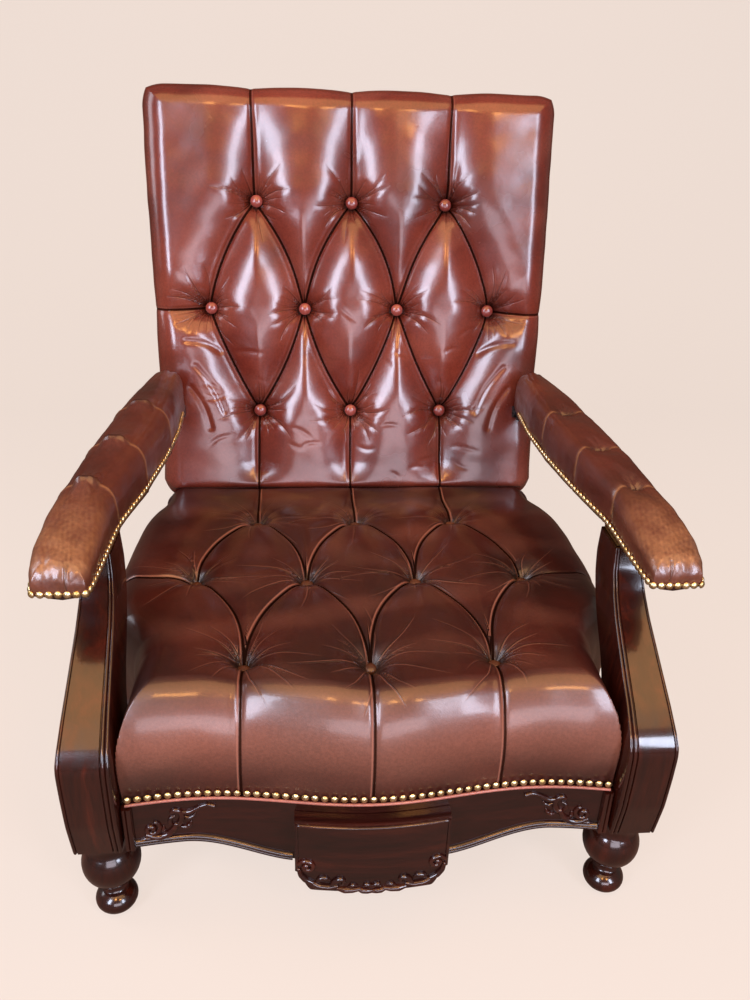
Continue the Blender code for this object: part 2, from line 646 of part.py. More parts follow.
def make_arm(side, name, axis):
    origin = Vector((0, ARM_PIVOT_Y, ARM_PIVOT_Z))

    def local(points, z):
        return [(x, y - origin.y, z - origin.z) for x, y in points]

    plan = arm_outline()
    levels = ((0.0, ARM_BOARD_HIGH + GAP), (-0.002, 0.588), (0.001, 0.612), (0.010, 0.630),
              (0.024, ARM_CROWN))
    rings = [local(offset_outline(plan, inset), z) for inset, z in levels]
    add_object("arm_pad_" + name, bm_loft(rings), ARM_LEATHER, axis, flip=side < 0)

    board = [local(offset_outline(plan, 0.0120), z) for z in (ARM_BOARD_LOW, ARM_BOARD_HIGH)]
    core = add_object("arm_core_" + name, bm_loft(board), MAHOGANY, axis, flip=side < 0)
    clearance = bm_box((0.290, -0.022, -0.03), (0.3345, 0.05, 0.02))
    cut(core, add_object("arm_core_notch_" + name, clearance, None, axis, flip=side < 0))

    tongue = rounded_end((0, 0), 0.0105, -90, 180) + [(-0.0215, 0.0105), (-0.0215, -0.0105)]
    knuckle = add_object("arm_knuckle_" + name, bm_prism(tongue, 0, 0.3139, 0.3257), STEEL, axis,
                         flip=side < 0)
    hole = bm_cylinder((ARM_PIVOT_X, 0, 0), (1, 0, 0), 0.0045, 0.05, 12)
    cut(knuckle, add_object("arm_knuckle_hole_" + name, hole, None, axis, flip=side < 0))

    low = ARM_BOARD_LOW - origin.z
    plate = bm_box((0.354, -0.370 - origin.y, low - ARM_PLATE), (0.376, -0.195 - origin.y, low - GAP))
    add_object("arm_slide_plate_" + name, plate, BRASS, axis, flip=side < 0)

    shift = Vector((0, -origin.y))
    ends = (slice(-8, None), slice(0, 9))
    inner, outer = [[tuple(Vector(p) + shift) for end in ends for p in offset_outline(plan, inset)[end]]
                    for inset in (-0.0024, -0.0024 - NAIL_HIGH)]
    low = ARM_BOARD_HIGH + 0.0052 - origin.z
    band = bm_band(inner, outer, low, low + 2 * NAIL_HALF)
    add_object("arm_nails_" + name, band, BRASS, axis, flip=side < 0)


# ---------------------------------------------------------------- pull-out footrest

def tablet_low(x):
    return TABLET_LOW - TABLET_DROP * smoothstep((TABLET_HALF - abs(x)) / 0.022)


def make_footrest():
    slide = add_empty("footrest_slide", (0, SEAT_FRONT_Y, 0.210), parent=CHAIR)
    move = Vector((0, -SEAT_FRONT_Y, -0.210))

    def place(name, bm, mat):
        bmesh.ops.translate(bm, verts=bm.verts, vec=move)
        add_object(name, bm, mat, slide)

    xs = spread(-TABLET_HALF, TABLET_HALF, 37)
    place("footrest_front", bowed_board(xs, lambda x: seat_face(x) - TABLET_PROUD,
                                        lambda x: seat_face(x) - GAP * 2, tablet_low,
                                        lambda x: TABLET_HIGH), MAHOGANY)
    place("footrest_carving", bowed_board(xs, lambda x: seat_face(x) - TABLET_PROUD - 0.0080,
                                          lambda x: seat_face(x) - TABLET_PROUD - GAP, tablet_low,
                                          lambda x: tablet_low(x) + 0.016 + 0.030 * smoothstep(abs(x) / 0.045 - 1)),
          MAHOGANY)
    front_y = SEAT_FRONT_Y - 0.004
    for side, name in SIDES:
        x0, x1 = sorted((side * (RUNNER_X - 0.009), side * (RUNNER_X + 0.009)))
        place("footrest_runner_" + name, bm_box((x0, front_y, 0.1955), (x1, RUNNER_BACK_Y, 0.2250)), BEECH)
    place("footrest_board", bm_box((-0.084, front_y, 0.2254), (0.084, -0.100, 0.2374)), MAHOGANY)
    pad = bmesh.new()
    rings = []
    for inset, z in ((0.0, 0.2378), (0.0, 0.2470), (0.006, 0.2525), (0.018, 0.2550)):
        x, y0, y1 = 0.082 - inset, front_y + 0.004 + inset, -0.106 - inset
        rings.append([(-x, y0, z), (x, y0, z), (x, y1, z), (-x, y1, z)])
    place("footrest_pad", bm_loft(rings, pad), SEAT_LEATHER)

    for side, name in SIDES:
        outline = [(side * 0.0845, 0.225), (side * 0.0845, 0.1950), (side * 0.070, 0.1950),
                   (side * 0.070, 0.1900), (side * 0.098, 0.1900), (side * 0.098, 0.225)]
        guide = bm_prism(outline, 1, seat_face(0.12) + BOARD + 0.001, REAR_LEG_Y + 0.007)
        add_object("footrest_guide_" + name, guide, BEECH)


# ---------------------------------------------------------------- the whole chair

def main():
    make_apron()
    make_apron_carvings()
    make_rear_rail()
    make_seat()
    make_seat_nails()
    make_footrest()
    recline = add_empty("back_recline_axis", (0, HINGE_Y, HINGE_Z), (-BACK_RAKE, 0, 0), CHAIR)
    make_back(recline)
    for side, name in SIDES:
        make_posts(side, name)
        make_side(side, name)
        make_hinge_brackets(side, name)
        make_back_side(side, name, recline)
        arm_axis = add_empty("arm_axis_" + name, (0, ARM_PIVOT_Y, ARM_PIVOT_Z), parent=CHAIR)
        make_arm(side, name, arm_axis)


main()
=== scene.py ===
"""Deep-buttoned leather library armchair with a reclining back and a pull-out footrest.

Dresses the plain parts of the chair with leather pads, close-nailed rows and polished mahogany.
Lengths are in metres. +Z is up and -Y is the front of the seat.
"""

import math

import bmesh
import bpy
import numpy as np
from mathutils import Matrix, Vector


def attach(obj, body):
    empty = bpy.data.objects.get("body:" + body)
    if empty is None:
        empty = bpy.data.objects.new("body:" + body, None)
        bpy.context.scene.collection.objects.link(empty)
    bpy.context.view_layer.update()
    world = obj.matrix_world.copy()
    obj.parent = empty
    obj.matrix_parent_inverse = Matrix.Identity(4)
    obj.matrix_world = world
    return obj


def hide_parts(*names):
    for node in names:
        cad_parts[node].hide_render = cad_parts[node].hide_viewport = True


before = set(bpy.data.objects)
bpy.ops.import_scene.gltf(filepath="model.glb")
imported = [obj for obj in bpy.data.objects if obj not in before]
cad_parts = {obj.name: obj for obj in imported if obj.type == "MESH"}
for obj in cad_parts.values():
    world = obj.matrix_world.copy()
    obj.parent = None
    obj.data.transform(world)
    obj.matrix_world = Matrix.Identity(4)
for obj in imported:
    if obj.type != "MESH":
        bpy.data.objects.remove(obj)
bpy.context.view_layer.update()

# Seat
SEAT_FRONT = -0.455
WAVE = 0.0105                        # swing of the serpentine front
WAVE_LENGTH = 0.44
RAIL_TOP = 0.260
SEAT_CROWN = 0.417
SEAT_PIT = 0.388                      # height of the sunk seat buttons
SEAT_ROWS = ((0.045, 3), (-0.143, 4), (-0.352, 3))
SEAT_PITCH = 0.170
# Back, in its own slope: s runs up the slope, t runs away from the sitter
RAKE = math.radians(13.7)
BACK_FOOT = (0.211, 0.381)
BACK_HALF = 0.359
BACK_SPLAY = 0.011
BACK_LENGTH = 0.722
BACK_CROWN = 0.015
BACK_REAR = 0.1135
BACK_ROWS = ((0.528, 3), (0.339, 4), (0.150, 3))
BACK_PITCH = 0.172
BACK_BUTTON_T = 0.019
# Arms
ARM_LOW = 0.5450
ARM_CROWN = 0.620
ARM_PUFF_Y = (-0.232, -0.115, 0.026)  # the three cross pleats of each arm
# Nail rows and piping
SEAT_NAIL_SPACING = 0.0127
ARM_NAIL_SPACING = 0.0105
NAIL_LIFT = 0.0074                    # height of the seat's nails above its rail
# Carving and turning
CARVING_LIFT = 1.15                   # how high a carved ridge stands, as a share of its half width
FOOT_X, FOOT_Y = 0.365, -0.398
# Apron, and the tablet that fronts the footrest
APRON_HALF = 0.312
APRON_END = 0.182
APRON_DIP = 0.032
TABLET_HALF = 0.103
TABLET_LOW = 0.153
TABLET_DROP = 0.034
TABLET_HIGH = 0.241
WINDOW_LOW, WINDOW_HIGH = 0.168, 0.2375   # the opening behind the tablet
WINDOW_WIDTH = 0.180
TABLET_PROUD = 0.0225
SIDES = ((-1, "left"), (1, "right"))


# ---------------------------------------------------------------- small tools

def ease(low, high, value):
    """0 below low, 1 above high, with a smooth rise between."""
    step = np.clip((value - low) / (high - low), 0.0, 1.0)
    return step * step * (3.0 - 2.0 * step)


def seat_face(x):
    """Serpentine front line of apron and seat."""
    return SEAT_FRONT - WAVE * np.cos(math.tau * x / WAVE_LENGTH)


def apron_low(x):
    """Lower edge of the apron, dipping towards the tablet."""
    return APRON_END - APRON_DIP * ease(0.0, 1.0, (0.25 - np.abs(x)) / (0.25 - TABLET_HALF))


def tablet_low(x):
    """Lower edge of the tablet, rounded at its ends."""
    return TABLET_LOW - TABLET_DROP * ease(0.0, 0.022, TABLET_HALF - np.abs(x))


def back_point(x, s, t):
    """A place given along and through the sloping back, as a point of the chair at rest."""
    return x, BACK_FOOT[0] + s * math.sin(RAKE) + t * math.cos(RAKE), \
        BACK_FOOT[1] + s * math.cos(RAKE) - t * math.sin(RAKE)


def ripple(a, b, size, seed):
    """Soft uneven swell about one unit high, with features of the given size."""
    rng = np.random.default_rng(seed)
    total = np.zeros_like(a)
    for _ in range(9):
        angle = rng.uniform(0, math.tau)
        wave = math.tau / (size * rng.uniform(0.7, 1.5))
        total += np.sin((a * math.cos(angle) + b * math.sin(angle)) * wave + rng.uniform(0, math.tau))
    return total / 4.5


def new_object(name, mesh, material, smooth=True):
    obj = bpy.data.objects.new(name, mesh)
    bpy.context.scene.collection.objects.link(obj)
    obj.data.materials.clear()
    obj.data.materials.append(material)
    if smooth:
        for face in obj.data.polygons:
            face.use_smooth = True
    return obj


def mesh_from(name, verts, faces, material, smooth=True):
    """Mesh object from points and faces, with all its faces turned outwards."""
    mesh = bpy.data.meshes.new(name)
    mesh.from_pydata([tuple(v) for v in verts], [], faces)
    bm = bmesh.new()
    bm.from_mesh(mesh)
    bmesh.ops.recalc_face_normals(bm, faces=bm.faces)
    bm.to_mesh(mesh)
    bm.free()
    return new_object(name, mesh, material, smooth)


def give(obj, body, *nodes, slot=None):
    """Fix a piece to its body and hide the plain parts that it stands for."""
    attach(obj, body)
    if nodes:
        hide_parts(*nodes)
    return obj


def harden(obj, angle=35.0):
    """Smooth faces with crisp edges where they meet at more than the angle."""
    obj.data.set_sharp_from_angle(angle=math.radians(angle))


def add_modifier(obj, kind, **settings):
    modifier = obj.modifiers.new(kind.title(), kind)
    for key, value in settings.items():
        setattr(modifier, key, value)
    return modifier


def flatten_modifiers(obj):
    """Replace the object's mesh with its finished shape and drop the modifiers."""
    graph = bpy.context.evaluated_depsgraph_get()
    mesh = bpy.data.meshes.new_from_object(obj.evaluated_get(graph))
    obj.modifiers.clear()
    obj.data = mesh
    return obj


def joined(name, objects):
    """One mesh object from several, keeping each part's material."""
    graph = bpy.context.evaluated_depsgraph_get()
    bm = bmesh.new()
    materials = []
    for obj in objects:
        mesh = bpy.data.meshes.new_from_object(obj.evaluated_get(graph))
        first = len(bm.faces)
        bm.from_mesh(mesh)
        bm.faces.ensure_lookup_table()
        material = mesh.materials[0]
        if material not in materials:
            materials.append(material)
        for face in bm.faces[first:]:
            face.material_index = materials.index(material)
    mesh = bpy.data.meshes.new(name)
    bm.to_mesh(mesh)
    bm.free()
    for obj in objects:
        bpy.data.objects.remove(obj)
    result = bpy.data.objects.new(name, mesh)
    bpy.context.scene.collection.objects.link(result)
    for material in materials:
        mesh.materials.append(material)
    return result


# ---------------------------------------------------------------- finishes

def srgb(code):
    """Linear colour from a six-digit hex code."""
    parts = [int(code[i:i + 2], 16) / 255 for i in (1, 3, 5)]
    return tuple(c / 12.92 if c <= 0.04045 else ((c + 0.055) / 1.055) ** 2.4 for c in parts) + (1.0,)


def new_finish(name):
    finish = bpy.data.materials.new(name)
    finish.use_nodes = True
    tree = finish.node_tree
    shader = tree.nodes["Principled BSDF"]
    return finish, tree, shader


def add_node(tree, kind, links=None, **values):
    """A node with its settings and sockets filled in; links join other nodes' outputs."""
    node = tree.nodes.new(kind)
    for key, value in values.items():
        if hasattr(node, key):
            setattr(node, key, value)
        else:
            node.inputs[key.replace("_", " ")].default_value = value
    for socket, source in (links or {}).items():
        tree.links.new(source, node.inputs[socket])
    return node


def mix_colour(tree, factor, first, second, blend="MIX"):
    node = tree.nodes.new("ShaderNodeMix")
    node.data_type = "RGBA"
    node.blend_type = blend
    for index, value in ((0, factor), (6, first), (7, second)):
        if isinstance(value, (tuple, float, int)):
            node.inputs[index].default_value = value
        else:
            tree.links.new(value, node.inputs[index])
    return node.outputs[2]


def ramp(tree, source, stops):
    node = tree.nodes.new("ShaderNodeValToRGB")
    tree.links.new(source, node.inputs[0])
    points = node.color_ramp.elements
    while len(points) < len(stops):
        points.new(0.5)
    for point, (position, colour) in zip(points, stops):
        point.position = position
        point.color = colour
    return node.outputs[0]


def grey(level):
    return (level, level, level, 1.0)


def times(tree, source, factor):
    """Product of a socket with another socket or a number."""
    node = add_node(tree, "ShaderNodeMath", {0: source}, operation="MULTIPLY")
    if isinstance(factor, float):
        node.inputs[1].default_value = factor
    else:
        tree.links.new(factor, node.inputs[1])
    return node.outputs[0]


def line_mask(tree, label, near, far):
    """Masks along the hide's pleat and crease lines, which carry their painted shade, painted highlight and
    bump.

    near and far bound a band by its distance from the line, as shares of the reach stored with the mesh.
    A second attribute says how strong each line is.
    """
    away = add_node(tree, "ShaderNodeAttribute", attribute_name=label).outputs["Fac"]
    strength = add_node(tree, "ShaderNodeAttribute", attribute_name=label + "_on").outputs["Fac"]
    size = add_node(tree, "ShaderNodeMath", {0: away}, operation="ABSOLUTE").outputs[0]
    band = ramp(tree, size, [(near, grey(1.0)), (far, grey(0.0))])
    return times(tree, band, strength), away, strength


def lit_edge(tree, away, strength, centre, width):
    """A thin band on one side of a line, where a fold catches the light and wears."""
    low, high = max(0.0, centre - width), centre + width
    band = ramp(tree, away, [(low, grey(0.0)), (centre, grey(1.0)), (high, grey(0.0))])
    return times(tree, band, strength)


FOLD_SHADE_COLOUR = "#120805"                 # painted shade in the folds and button pits and along the pleat and crease lines


def leather(name, dark, middle, light, worn, gloss, grain=1.0, rubbed=0.5):
    """Antiqued hide: mottled dye, painted shade in the folds and pits, paler along them with a painted
    highlight that is partly rubbed wear, fine grain and creases.
    """
    finish, tree, shader = new_finish(name)
    place = add_node(tree, "ShaderNodeTexCoord").outputs["Object"]
    cloud = add_node(tree, "ShaderNodeTexNoise", {"Vector": place}, Scale=6.0, Detail=4.0, Roughness=0.55)
    speck = add_node(tree, "ShaderNodeTexNoise", {"Vector": place}, Scale=240.0, Detail=3.0, Roughness=0.7)
    base = ramp(tree, cloud.outputs[0], [(0.32, srgb(dark)), (0.50, srgb(middle)), (0.70, srgb(light))])
    fleck = ramp(tree, speck.outputs[0], [(0.36, grey(0.74)), (0.64, grey(1.14))])
    wear_and_sheen_spots = add_node(tree, "ShaderNodeAttribute", attribute_name="wear").outputs["Fac"]
    fold = add_node(tree, "ShaderNodeAttribute", attribute_name="fold").outputs["Fac"]
    seam, seam_away, seam_on = line_mask(tree, "pleat", 0.09, 0.22)
    crease, crease_away, crease_on = line_mask(tree, "ray", 0.05, 0.22)
    # Worn patches, and a painted sheen along the seat's front roll.
    base = mix_colour(tree, wear_and_sheen_spots, base, srgb(worn))
    base = mix_colour(tree, 0.6, base, fleck, "MULTIPLY")
    # Painted highlight, partly rubbed wear: a thin pale band beside each pleat and crease line, mixed
    # towards the worn colour, its strength set by rubbed.
    for away, on, centre, share in ((seam_away, seam_on, 0.36, 1.0), (crease_away, crease_on, 0.34, 0.8)):
        edge = lit_edge(tree, away, on, centre, 0.16)
        base = mix_colour(tree, times(tree, edge, rubbed * share), base, srgb(worn))
    # Painted shade: darker in the folds and button pits and along the pleat and crease lines.
    for mark, share in ((fold, 1.0), (seam, 0.95), (crease, 0.45)):
        base = mix_colour(tree, times(tree, mark, share), base, srgb(FOLD_SHADE_COLOUR))
    tree.links.new(base, shader.inputs["Base Color"])
    rough = ramp(tree, cloud.outputs[0], [(0.3, grey(gloss + 0.05)), (0.7, grey(gloss - 0.04))])
    tree.links.new(rough, shader.inputs["Roughness"])
    pores = add_node(tree, "ShaderNodeTexVoronoi", {"Vector": place}, Scale=700.0)
    puckers = add_node(tree, "ShaderNodeTexNoise", {"Vector": place}, Scale=38.0, Detail=3.0, Roughness=0.5,
                       Distortion=0.6)
    bump = add_node(tree, "ShaderNodeBump", {"Height": pores.outputs[0]}, Strength=0.14 * grain,
                    Distance=0.0005)
    bump = add_node(tree, "ShaderNodeBump", {"Height": puckers.outputs[0], "Normal": bump.outputs[0]},
                    Strength=0.10 * grain, Distance=0.0030)
    for mark, depth in ((seam, 0.0030), (crease, 0.0011)):
        bump = add_node(tree, "ShaderNodeBump", {"Height": mark, "Normal": bump.outputs[0]}, invert=True,
                        Strength=0.8, Distance=depth)
    tree.links.new(bump.outputs[0], shader.inputs["Normal"])
    for socket, level in (("Coat Weight", 0.35), ("Specular IOR Level", 0.50)):
        tree.links.new(ramp(tree, seam, [(0.0, grey(level)), (0.8, grey(0.0))]), shader.inputs[socket])
    shader.inputs["Coat Roughness"].default_value = 0.14
    return finish


def mahogany(name, along, dark="#190705", middle="#290d07", light="#3f160c"):
    """French-polished mahogany: ribbon grain along one axis under a deep glossy coat."""
    finish, tree, shader = new_finish(name)
    place = add_node(tree, "ShaderNodeTexCoord").outputs["Object"]
    stretch = [38.0, 38.0, 38.0]
    stretch["xyz".index(along)] = 2.6
    mapped = add_node(tree, "ShaderNodeMapping", {"Vector": place}, Scale=tuple(stretch))
    ribbon = add_node(tree, "ShaderNodeTexNoise", {"Vector": mapped.outputs[0]}, Scale=1.0, Detail=7.0,
                      Roughness=0.62, Distortion=0.6)
    pores = add_node(tree, "ShaderNodeTexNoise", {"Vector": mapped.outputs[0]}, Scale=9.0, Detail=3.0)
    colour = ramp(tree, ribbon.outputs[0], [(0.32, srgb(dark)), (0.55, srgb(middle)), (0.72, srgb(light))])
    pored = ramp(tree, pores.outputs[0], [(0.38, grey(0.55)), (0.52, grey(1.0))])
    colour = mix_colour(tree, 0.6, colour, pored, "MULTIPLY")
    tree.links.new(colour, shader.inputs["Base Color"])
    rough = ramp(tree, ribbon.outputs[0], [(0.3, grey(0.26)), (0.7, grey(0.16))])
    tree.links.new(rough, shader.inputs["Roughness"])
    bump = add_node(tree, "ShaderNodeBump", {"Height": pores.outputs[0]}, Strength=0.08, Distance=0.0005)
    tree.links.new(bump.outputs[0], shader.inputs["Normal"])
    shader.inputs["Specular IOR Level"].default_value = 0.40
    shader.inputs["Coat Weight"].default_value = 0.55
    shader.inputs["Coat Roughness"].default_value = 0.08
    return finish


def metal(name, bright, dull, rough):
    """Metal with cloudy tarnish."""
    finish, tree, shader = new_finish(name)
    place = add_node(tree, "ShaderNodeTexCoord").outputs["Object"]
    tarnish = add_node(tree, "ShaderNodeTexNoise", {"Vector": place}, Scale=120.0, Detail=4.0)
    colour = ramp(tree, tarnish.outputs[0], [(0.35, srgb(dull)), (0.62, srgb(bright))])
    tree.links.new(colour, shader.inputs["Base Color"])
    level = ramp(tree, tarnish.outputs[0], [(0.35, grey(rough + 0.12)), (0.65, grey(rough))])
    tree.links.new(level, shader.inputs["Roughness"])
    shader.inputs["Metallic"].default_value = 1.0
    return finish


def rough_stuff(name, dark, light, scale, along="x"):
    """Unpolished beech or jute: streaks one way, dull."""
    finish, tree, shader = new_finish(name)
    place = add_node(tree, "ShaderNodeTexCoord").outputs["Object"]
    stretch = [scale, scale, scale]
    stretch["xyz".index(along)] = scale * 0.08
    mapped = add_node(tree, "ShaderNodeMapping", {"Vector": place}, Scale=tuple(stretch))
    streak = add_node(tree, "ShaderNodeTexNoise", {"Vector": mapped.outputs[0]}, Scale=1.0, Detail=5.0)
    colour = ramp(tree, streak.outputs[0], [(0.35, srgb(dark)), (0.65, srgb(light))])
    tree.links.new(colour, shader.inputs["Base Color"])
    bump = add_node(tree, "ShaderNodeBump", {"Height": streak.outputs[0]}, Strength=0.3, Distance=0.0008)
    tree.links.new(bump.outputs[0], shader.inputs["Normal"])
    shader.inputs["Roughness"].default_value = 0.72
    return finish


BACK_HIDE = leather("oxblood_hide_glossy", "#441610", "#5b2218", "#6b2f22", "#93594a", 0.25, 1.0, 0.35)
SEAT_HIDE = leather("oxblood_hide_darkened", "#1f0a07", "#30100b", "#401810", "#94604e", 0.34, 1.0, 0.85)
ARM_HIDE = leather("hide_rubbed_tan", "#361810", "#4a2219", "#5a2e21", "#8a6242", 0.33, 1.3, 0.9)
BACK_BUTTON_HIDE = leather("button_hide_red", "#5a1d18", "#74302a", "#87423a", "#8a4a40", 0.26, 0.4)
SEAT_BUTTON_HIDE = leather("button_hide_brown", "#3a1e12", "#4a2a18", "#5a3420", "#5a3420", 0.35, 0.4)
WELT_HIDE = leather("welt_hide_faded", "#7d4a40", "#93584c", "#a0675a", "#a0675a", 0.40, 0.4)
WOOD_UP = mahogany("mahogany_grain_up", "z")
WOOD_ACROSS = mahogany("mahogany_grain_across", "x", "#160705", "#230b08", "#35130b")
WOOD_DEEP = mahogany("mahogany_grain_deep", "y")
CARVED_WOOD = mahogany("mahogany_carved", "x", "#1d0a07", "#2d100a", "#401910")
NAIL_BRASS = metal("nail_brass", "#ead9ac", "#b3955c", 0.26)
PLATE_BRASS = metal("plate_brass", "#c9a565", "#8d6f3c", 0.34)
STEEL_BLACK = metal("blackened_steel", "#4b4b4e", "#2c2c2e", 0.42)
STEEL_WIRE = metal("spring_wire", "#a9a7a2", "#7d7a74", 0.34)
BEECH = rough_stuff("sawn_beech", "#a9835a", "#c9a577", 60.0)
JUTE = rough_stuff("jute_webbing", "#8f7850", "#b8a077", 900.0)


# ---------------------------------------------------------------- buttoned leather

def button_grid(rows, pitch):
    """Button places, row by row, each row centred on the chair."""
    return [((i - (count - 1) / 2) * pitch, at) for at, count in rows for i in range(count)]


def diamond_pleats(rows, pitch, reach, bulges, fade_ends=0.25, fade_sides=0.12):
    """Pleats from each button to its neighbours in the next row, then out to the edges, where they fade.

    Each is (line, how much of its depth is left at its end, bow). A bulge bows a pleat so that it leaves
    the first row sideways and drops to the second.
    """
    lines = []
    for (at, count), (next_at, next_count), bulge in zip(rows, rows[1:], bulges):
        for i in range(count):
            x = (i - (count - 1) / 2) * pitch
            for j in range(next_count):
                other = (j - (next_count - 1) / 2) * pitch
                if abs(other - x) < pitch * 0.6:
                    lines.append((((x, at), (other, next_at)), 1.0, -bulge * math.copysign(1, other - x)))
    first, last = rows[0], rows[-1]
    sign = 1 if first[0] > last[0] else -1
    for x, at in button_grid((first,), pitch):
        lines.append((((x, at), (x * 1.02, at + sign * reach)), fade_ends, 0.0))
    for x, at in button_grid((last,), pitch):
        lines.append((((x, at), (x * 1.02, at - sign * reach)), fade_ends, 0.0))
    middle = rows[1]
    edge = (middle[1] - 1) / 2 * pitch
    for side in (-1, 1):
        line = ((side * edge, middle[0]), (side * (edge + reach * 0.6), middle[0] + 0.004))
        lines.append((line, fade_sides, 0.008 * side))
    return lines


def pleat_distance(a, b, line, bow=0.0):
    """(distance to a pleat, signed side, place along it) for every point of the hide."""
    (a0, b0), (a1, b1) = line
    run = math.hypot(a1 - a0, b1 - b0)
    da, db = (a1 - a0) / run, (b1 - b0) / run
    along = np.clip((a - a0) * da + (b - b0) * db, 0, run)
    across = (a - a0) * db - (b - b0) * da - bow * np.sin(math.pi * along / run)
    beyond = (a - a0) * da + (b - b0) * db - along
    return np.hypot(across, beyond), across, along / run


def pucker_rays(x, y, count, rng, avoid, longest):
    """Short curved creases running out from a button, kept off the pleats themselves."""
    rays = []
    for k in range(count):
        angle = math.tau * (k + rng.uniform(-0.32, 0.32)) / count
        if min(abs(math.remainder(angle - other, math.tau)) for other in avoid) < 0.13:
            continue
        length = longest * rng.uniform(0.45, 1.0)
        start = 0.009
        rays.append((((x + start * math.cos(angle), y + start * math.sin(angle)),
                      (x + length * math.cos(angle), y + length * math.sin(angle))),
                     rng.uniform(-0.10, 0.10) * length, rng.uniform(0.5, 1.0)))
    return rays


PLEAT_REACH = 0.010                   # distance stored as one whole unit with each pleat
RAY_REACH = 0.006


class LineField:
    """Signed distance to the nearest of many lines, and how strong that line is."""

    def __init__(self, like, reach):
        self.reach = reach
        self.near = np.full_like(like, 9.0)
        self.away = np.ones_like(like)
        self.on = np.zeros_like(like)

    def add(self, distance, across, level):
        closer = distance < self.near
        self.near = np.where(closer, distance, self.near)
        signed = np.where(across < 0, -distance, distance) / self.reach
        self.away = np.where(closer, np.clip(signed, -1, 1), self.away)
        strength = level * (1 - ease(0.7 * self.reach, self.reach, distance))
        self.on = np.maximum(self.on, strength)


def tufting(a, b, buttons, pleats, seed, pit=0.021, fold=0.020, swell=0.062, reach=0.060, rays=17,
            ray_depth=0.0030, longest=0.080, narrow=2.4):
    """Depth of a deep-buttoned hide below its crown, the painted shade of its pleats, creases and button
    pits, and the lines its pleats and creases draw.
    """
    rng = np.random.default_rng(seed)
    valley = np.zeros_like(a)
    crease = np.zeros_like(a)
    lip = np.zeros_like(a)
    seams = LineField(a, PLEAT_REACH)
    creases = LineField(a, RAY_REACH)
    ends = {}
    for line, fade, bulge in pleats:
        bow = bulge + rng.uniform(-0.003, 0.003)
        distance, across, share = pleat_distance(a, b, line, bow)
        level = 1 - (1 - fade) * ease(0.0, 0.75, share)
        valley += (level * (1 - np.clip(distance / swell, 0, 1)) ** 2) ** 4
        crease = np.maximum(crease, (0.35 + 0.65 * level) * np.exp(-(distance / 0.0034) ** 2))
        lip = np.maximum(lip, level * np.exp(-((across - 0.0070) / 0.0042) ** 2) * (distance < 0.02))
        seams.add(distance, across, 1 - 0.35 * (1 - fade) * share)
        for (x, y), (u, v) in (line, line[::-1]):
            ends.setdefault((round(x, 4), round(y, 4)), []).append(math.atan2(v - y, u - x))
    depth = fold * np.minimum(valley ** 0.25, 1.1) + 0.0024 * crease - 0.0012 * lip
    shade = 0.35 * crease
    for x, y in buttons:
        r = np.hypot(a - x, b - y)
        depth += pit * (1 - np.clip(r / reach, 0, 1)) ** narrow + 0.004 * np.exp(-(r / 0.015) ** 2)
        shade = np.maximum(shade, 0.80 * np.exp(-(r / 0.018) ** 2))
        avoid = ends.get((round(x, 4), round(y, 4)), [9.0])
        for line, bow, strength in pucker_rays(x, y, rays, rng, avoid, longest):
            distance, across, share = pleat_distance(a, b, line, bow)
            mark = strength * np.exp(-(distance / 0.0044) ** 2) * (1 - share) ** 0.8
            depth += ray_depth * mark
            shade = np.maximum(shade, 0.22 * mark * (1 - share))
            creases.add(distance, across, strength * (1 - share) ** 0.5)
    creases.on *= ease(0.0015, 0.0045, seams.near)
    # fold holds the painted shade of the pleats, creases and button pits.
    marks = {"fold": np.clip(shade, 0, 1), "pleat": seams.away, "pleat_on": seams.on,
             "ray": creases.away, "ray_on": creases.on}
    return depth, marks


def stray_creases(a, b, seed, count, area, length, depth):
    """Shallow creases worn into the hide, lying mostly across it."""
    rng = np.random.default_rng(seed)
    total = np.zeros_like(a)
    (u0, v0), (u1, v1) = area
    for _ in range(count):
        x, y = rng.uniform(u0, u1), rng.uniform(v0, v1)
        angle, run = rng.normal(0.0, 0.35), length * rng.uniform(0.5, 1.2)
        line = ((x, y), (x + run * math.cos(angle), y + run * math.sin(angle)))
        distance, _, share = pleat_distance(a, b, line, rng.uniform(-0.14, 0.14) * run)
        total = np.maximum(total, np.exp(-(distance / 0.0035) ** 2) * np.sin(math.pi * share))
    return depth * total


def roll_over(past, out, down, lap, depth):
    """How far a hide runs outwards and drops after rolling past the flat part of a pad of that depth."""
    arc = (out + down) * math.pi / 4
    turn = np.clip(past / arc, 0, 1) * math.pi / 2
    straight = (depth - down) * np.clip((past - arc) / (lap - arc), 0, 1)
    return out * np.sin(turn), down * (1 - np.cos(turn)) + straight


def corner_direction(u, v, square):
    """Direction in which the margin of a hide runs: 0 turns round the corners, 1 keeps them sharp."""
    past = np.maximum(np.abs(u), np.abs(v))
    span = np.maximum(square * past + (1 - square) * np.hypot(u, v), 1e-9)
    return u / span, v / span


def graded(low, high, lap, spacing):
    """Grid lines: close together on the face of a pad, wider apart down its sides."""
    shown = min(lap, 0.075)
    face = np.linspace(low - shown, high + shown, int((high - low + 2 * shown) / spacing) + 1)
    if lap - shown < spacing:
        return face
    side = np.linspace(0, lap - shown, int((lap - shown) / (2.6 * spacing)) + 2)[1:]
    return np.concatenate([face[0] - side[::-1], face, face[-1] + side])


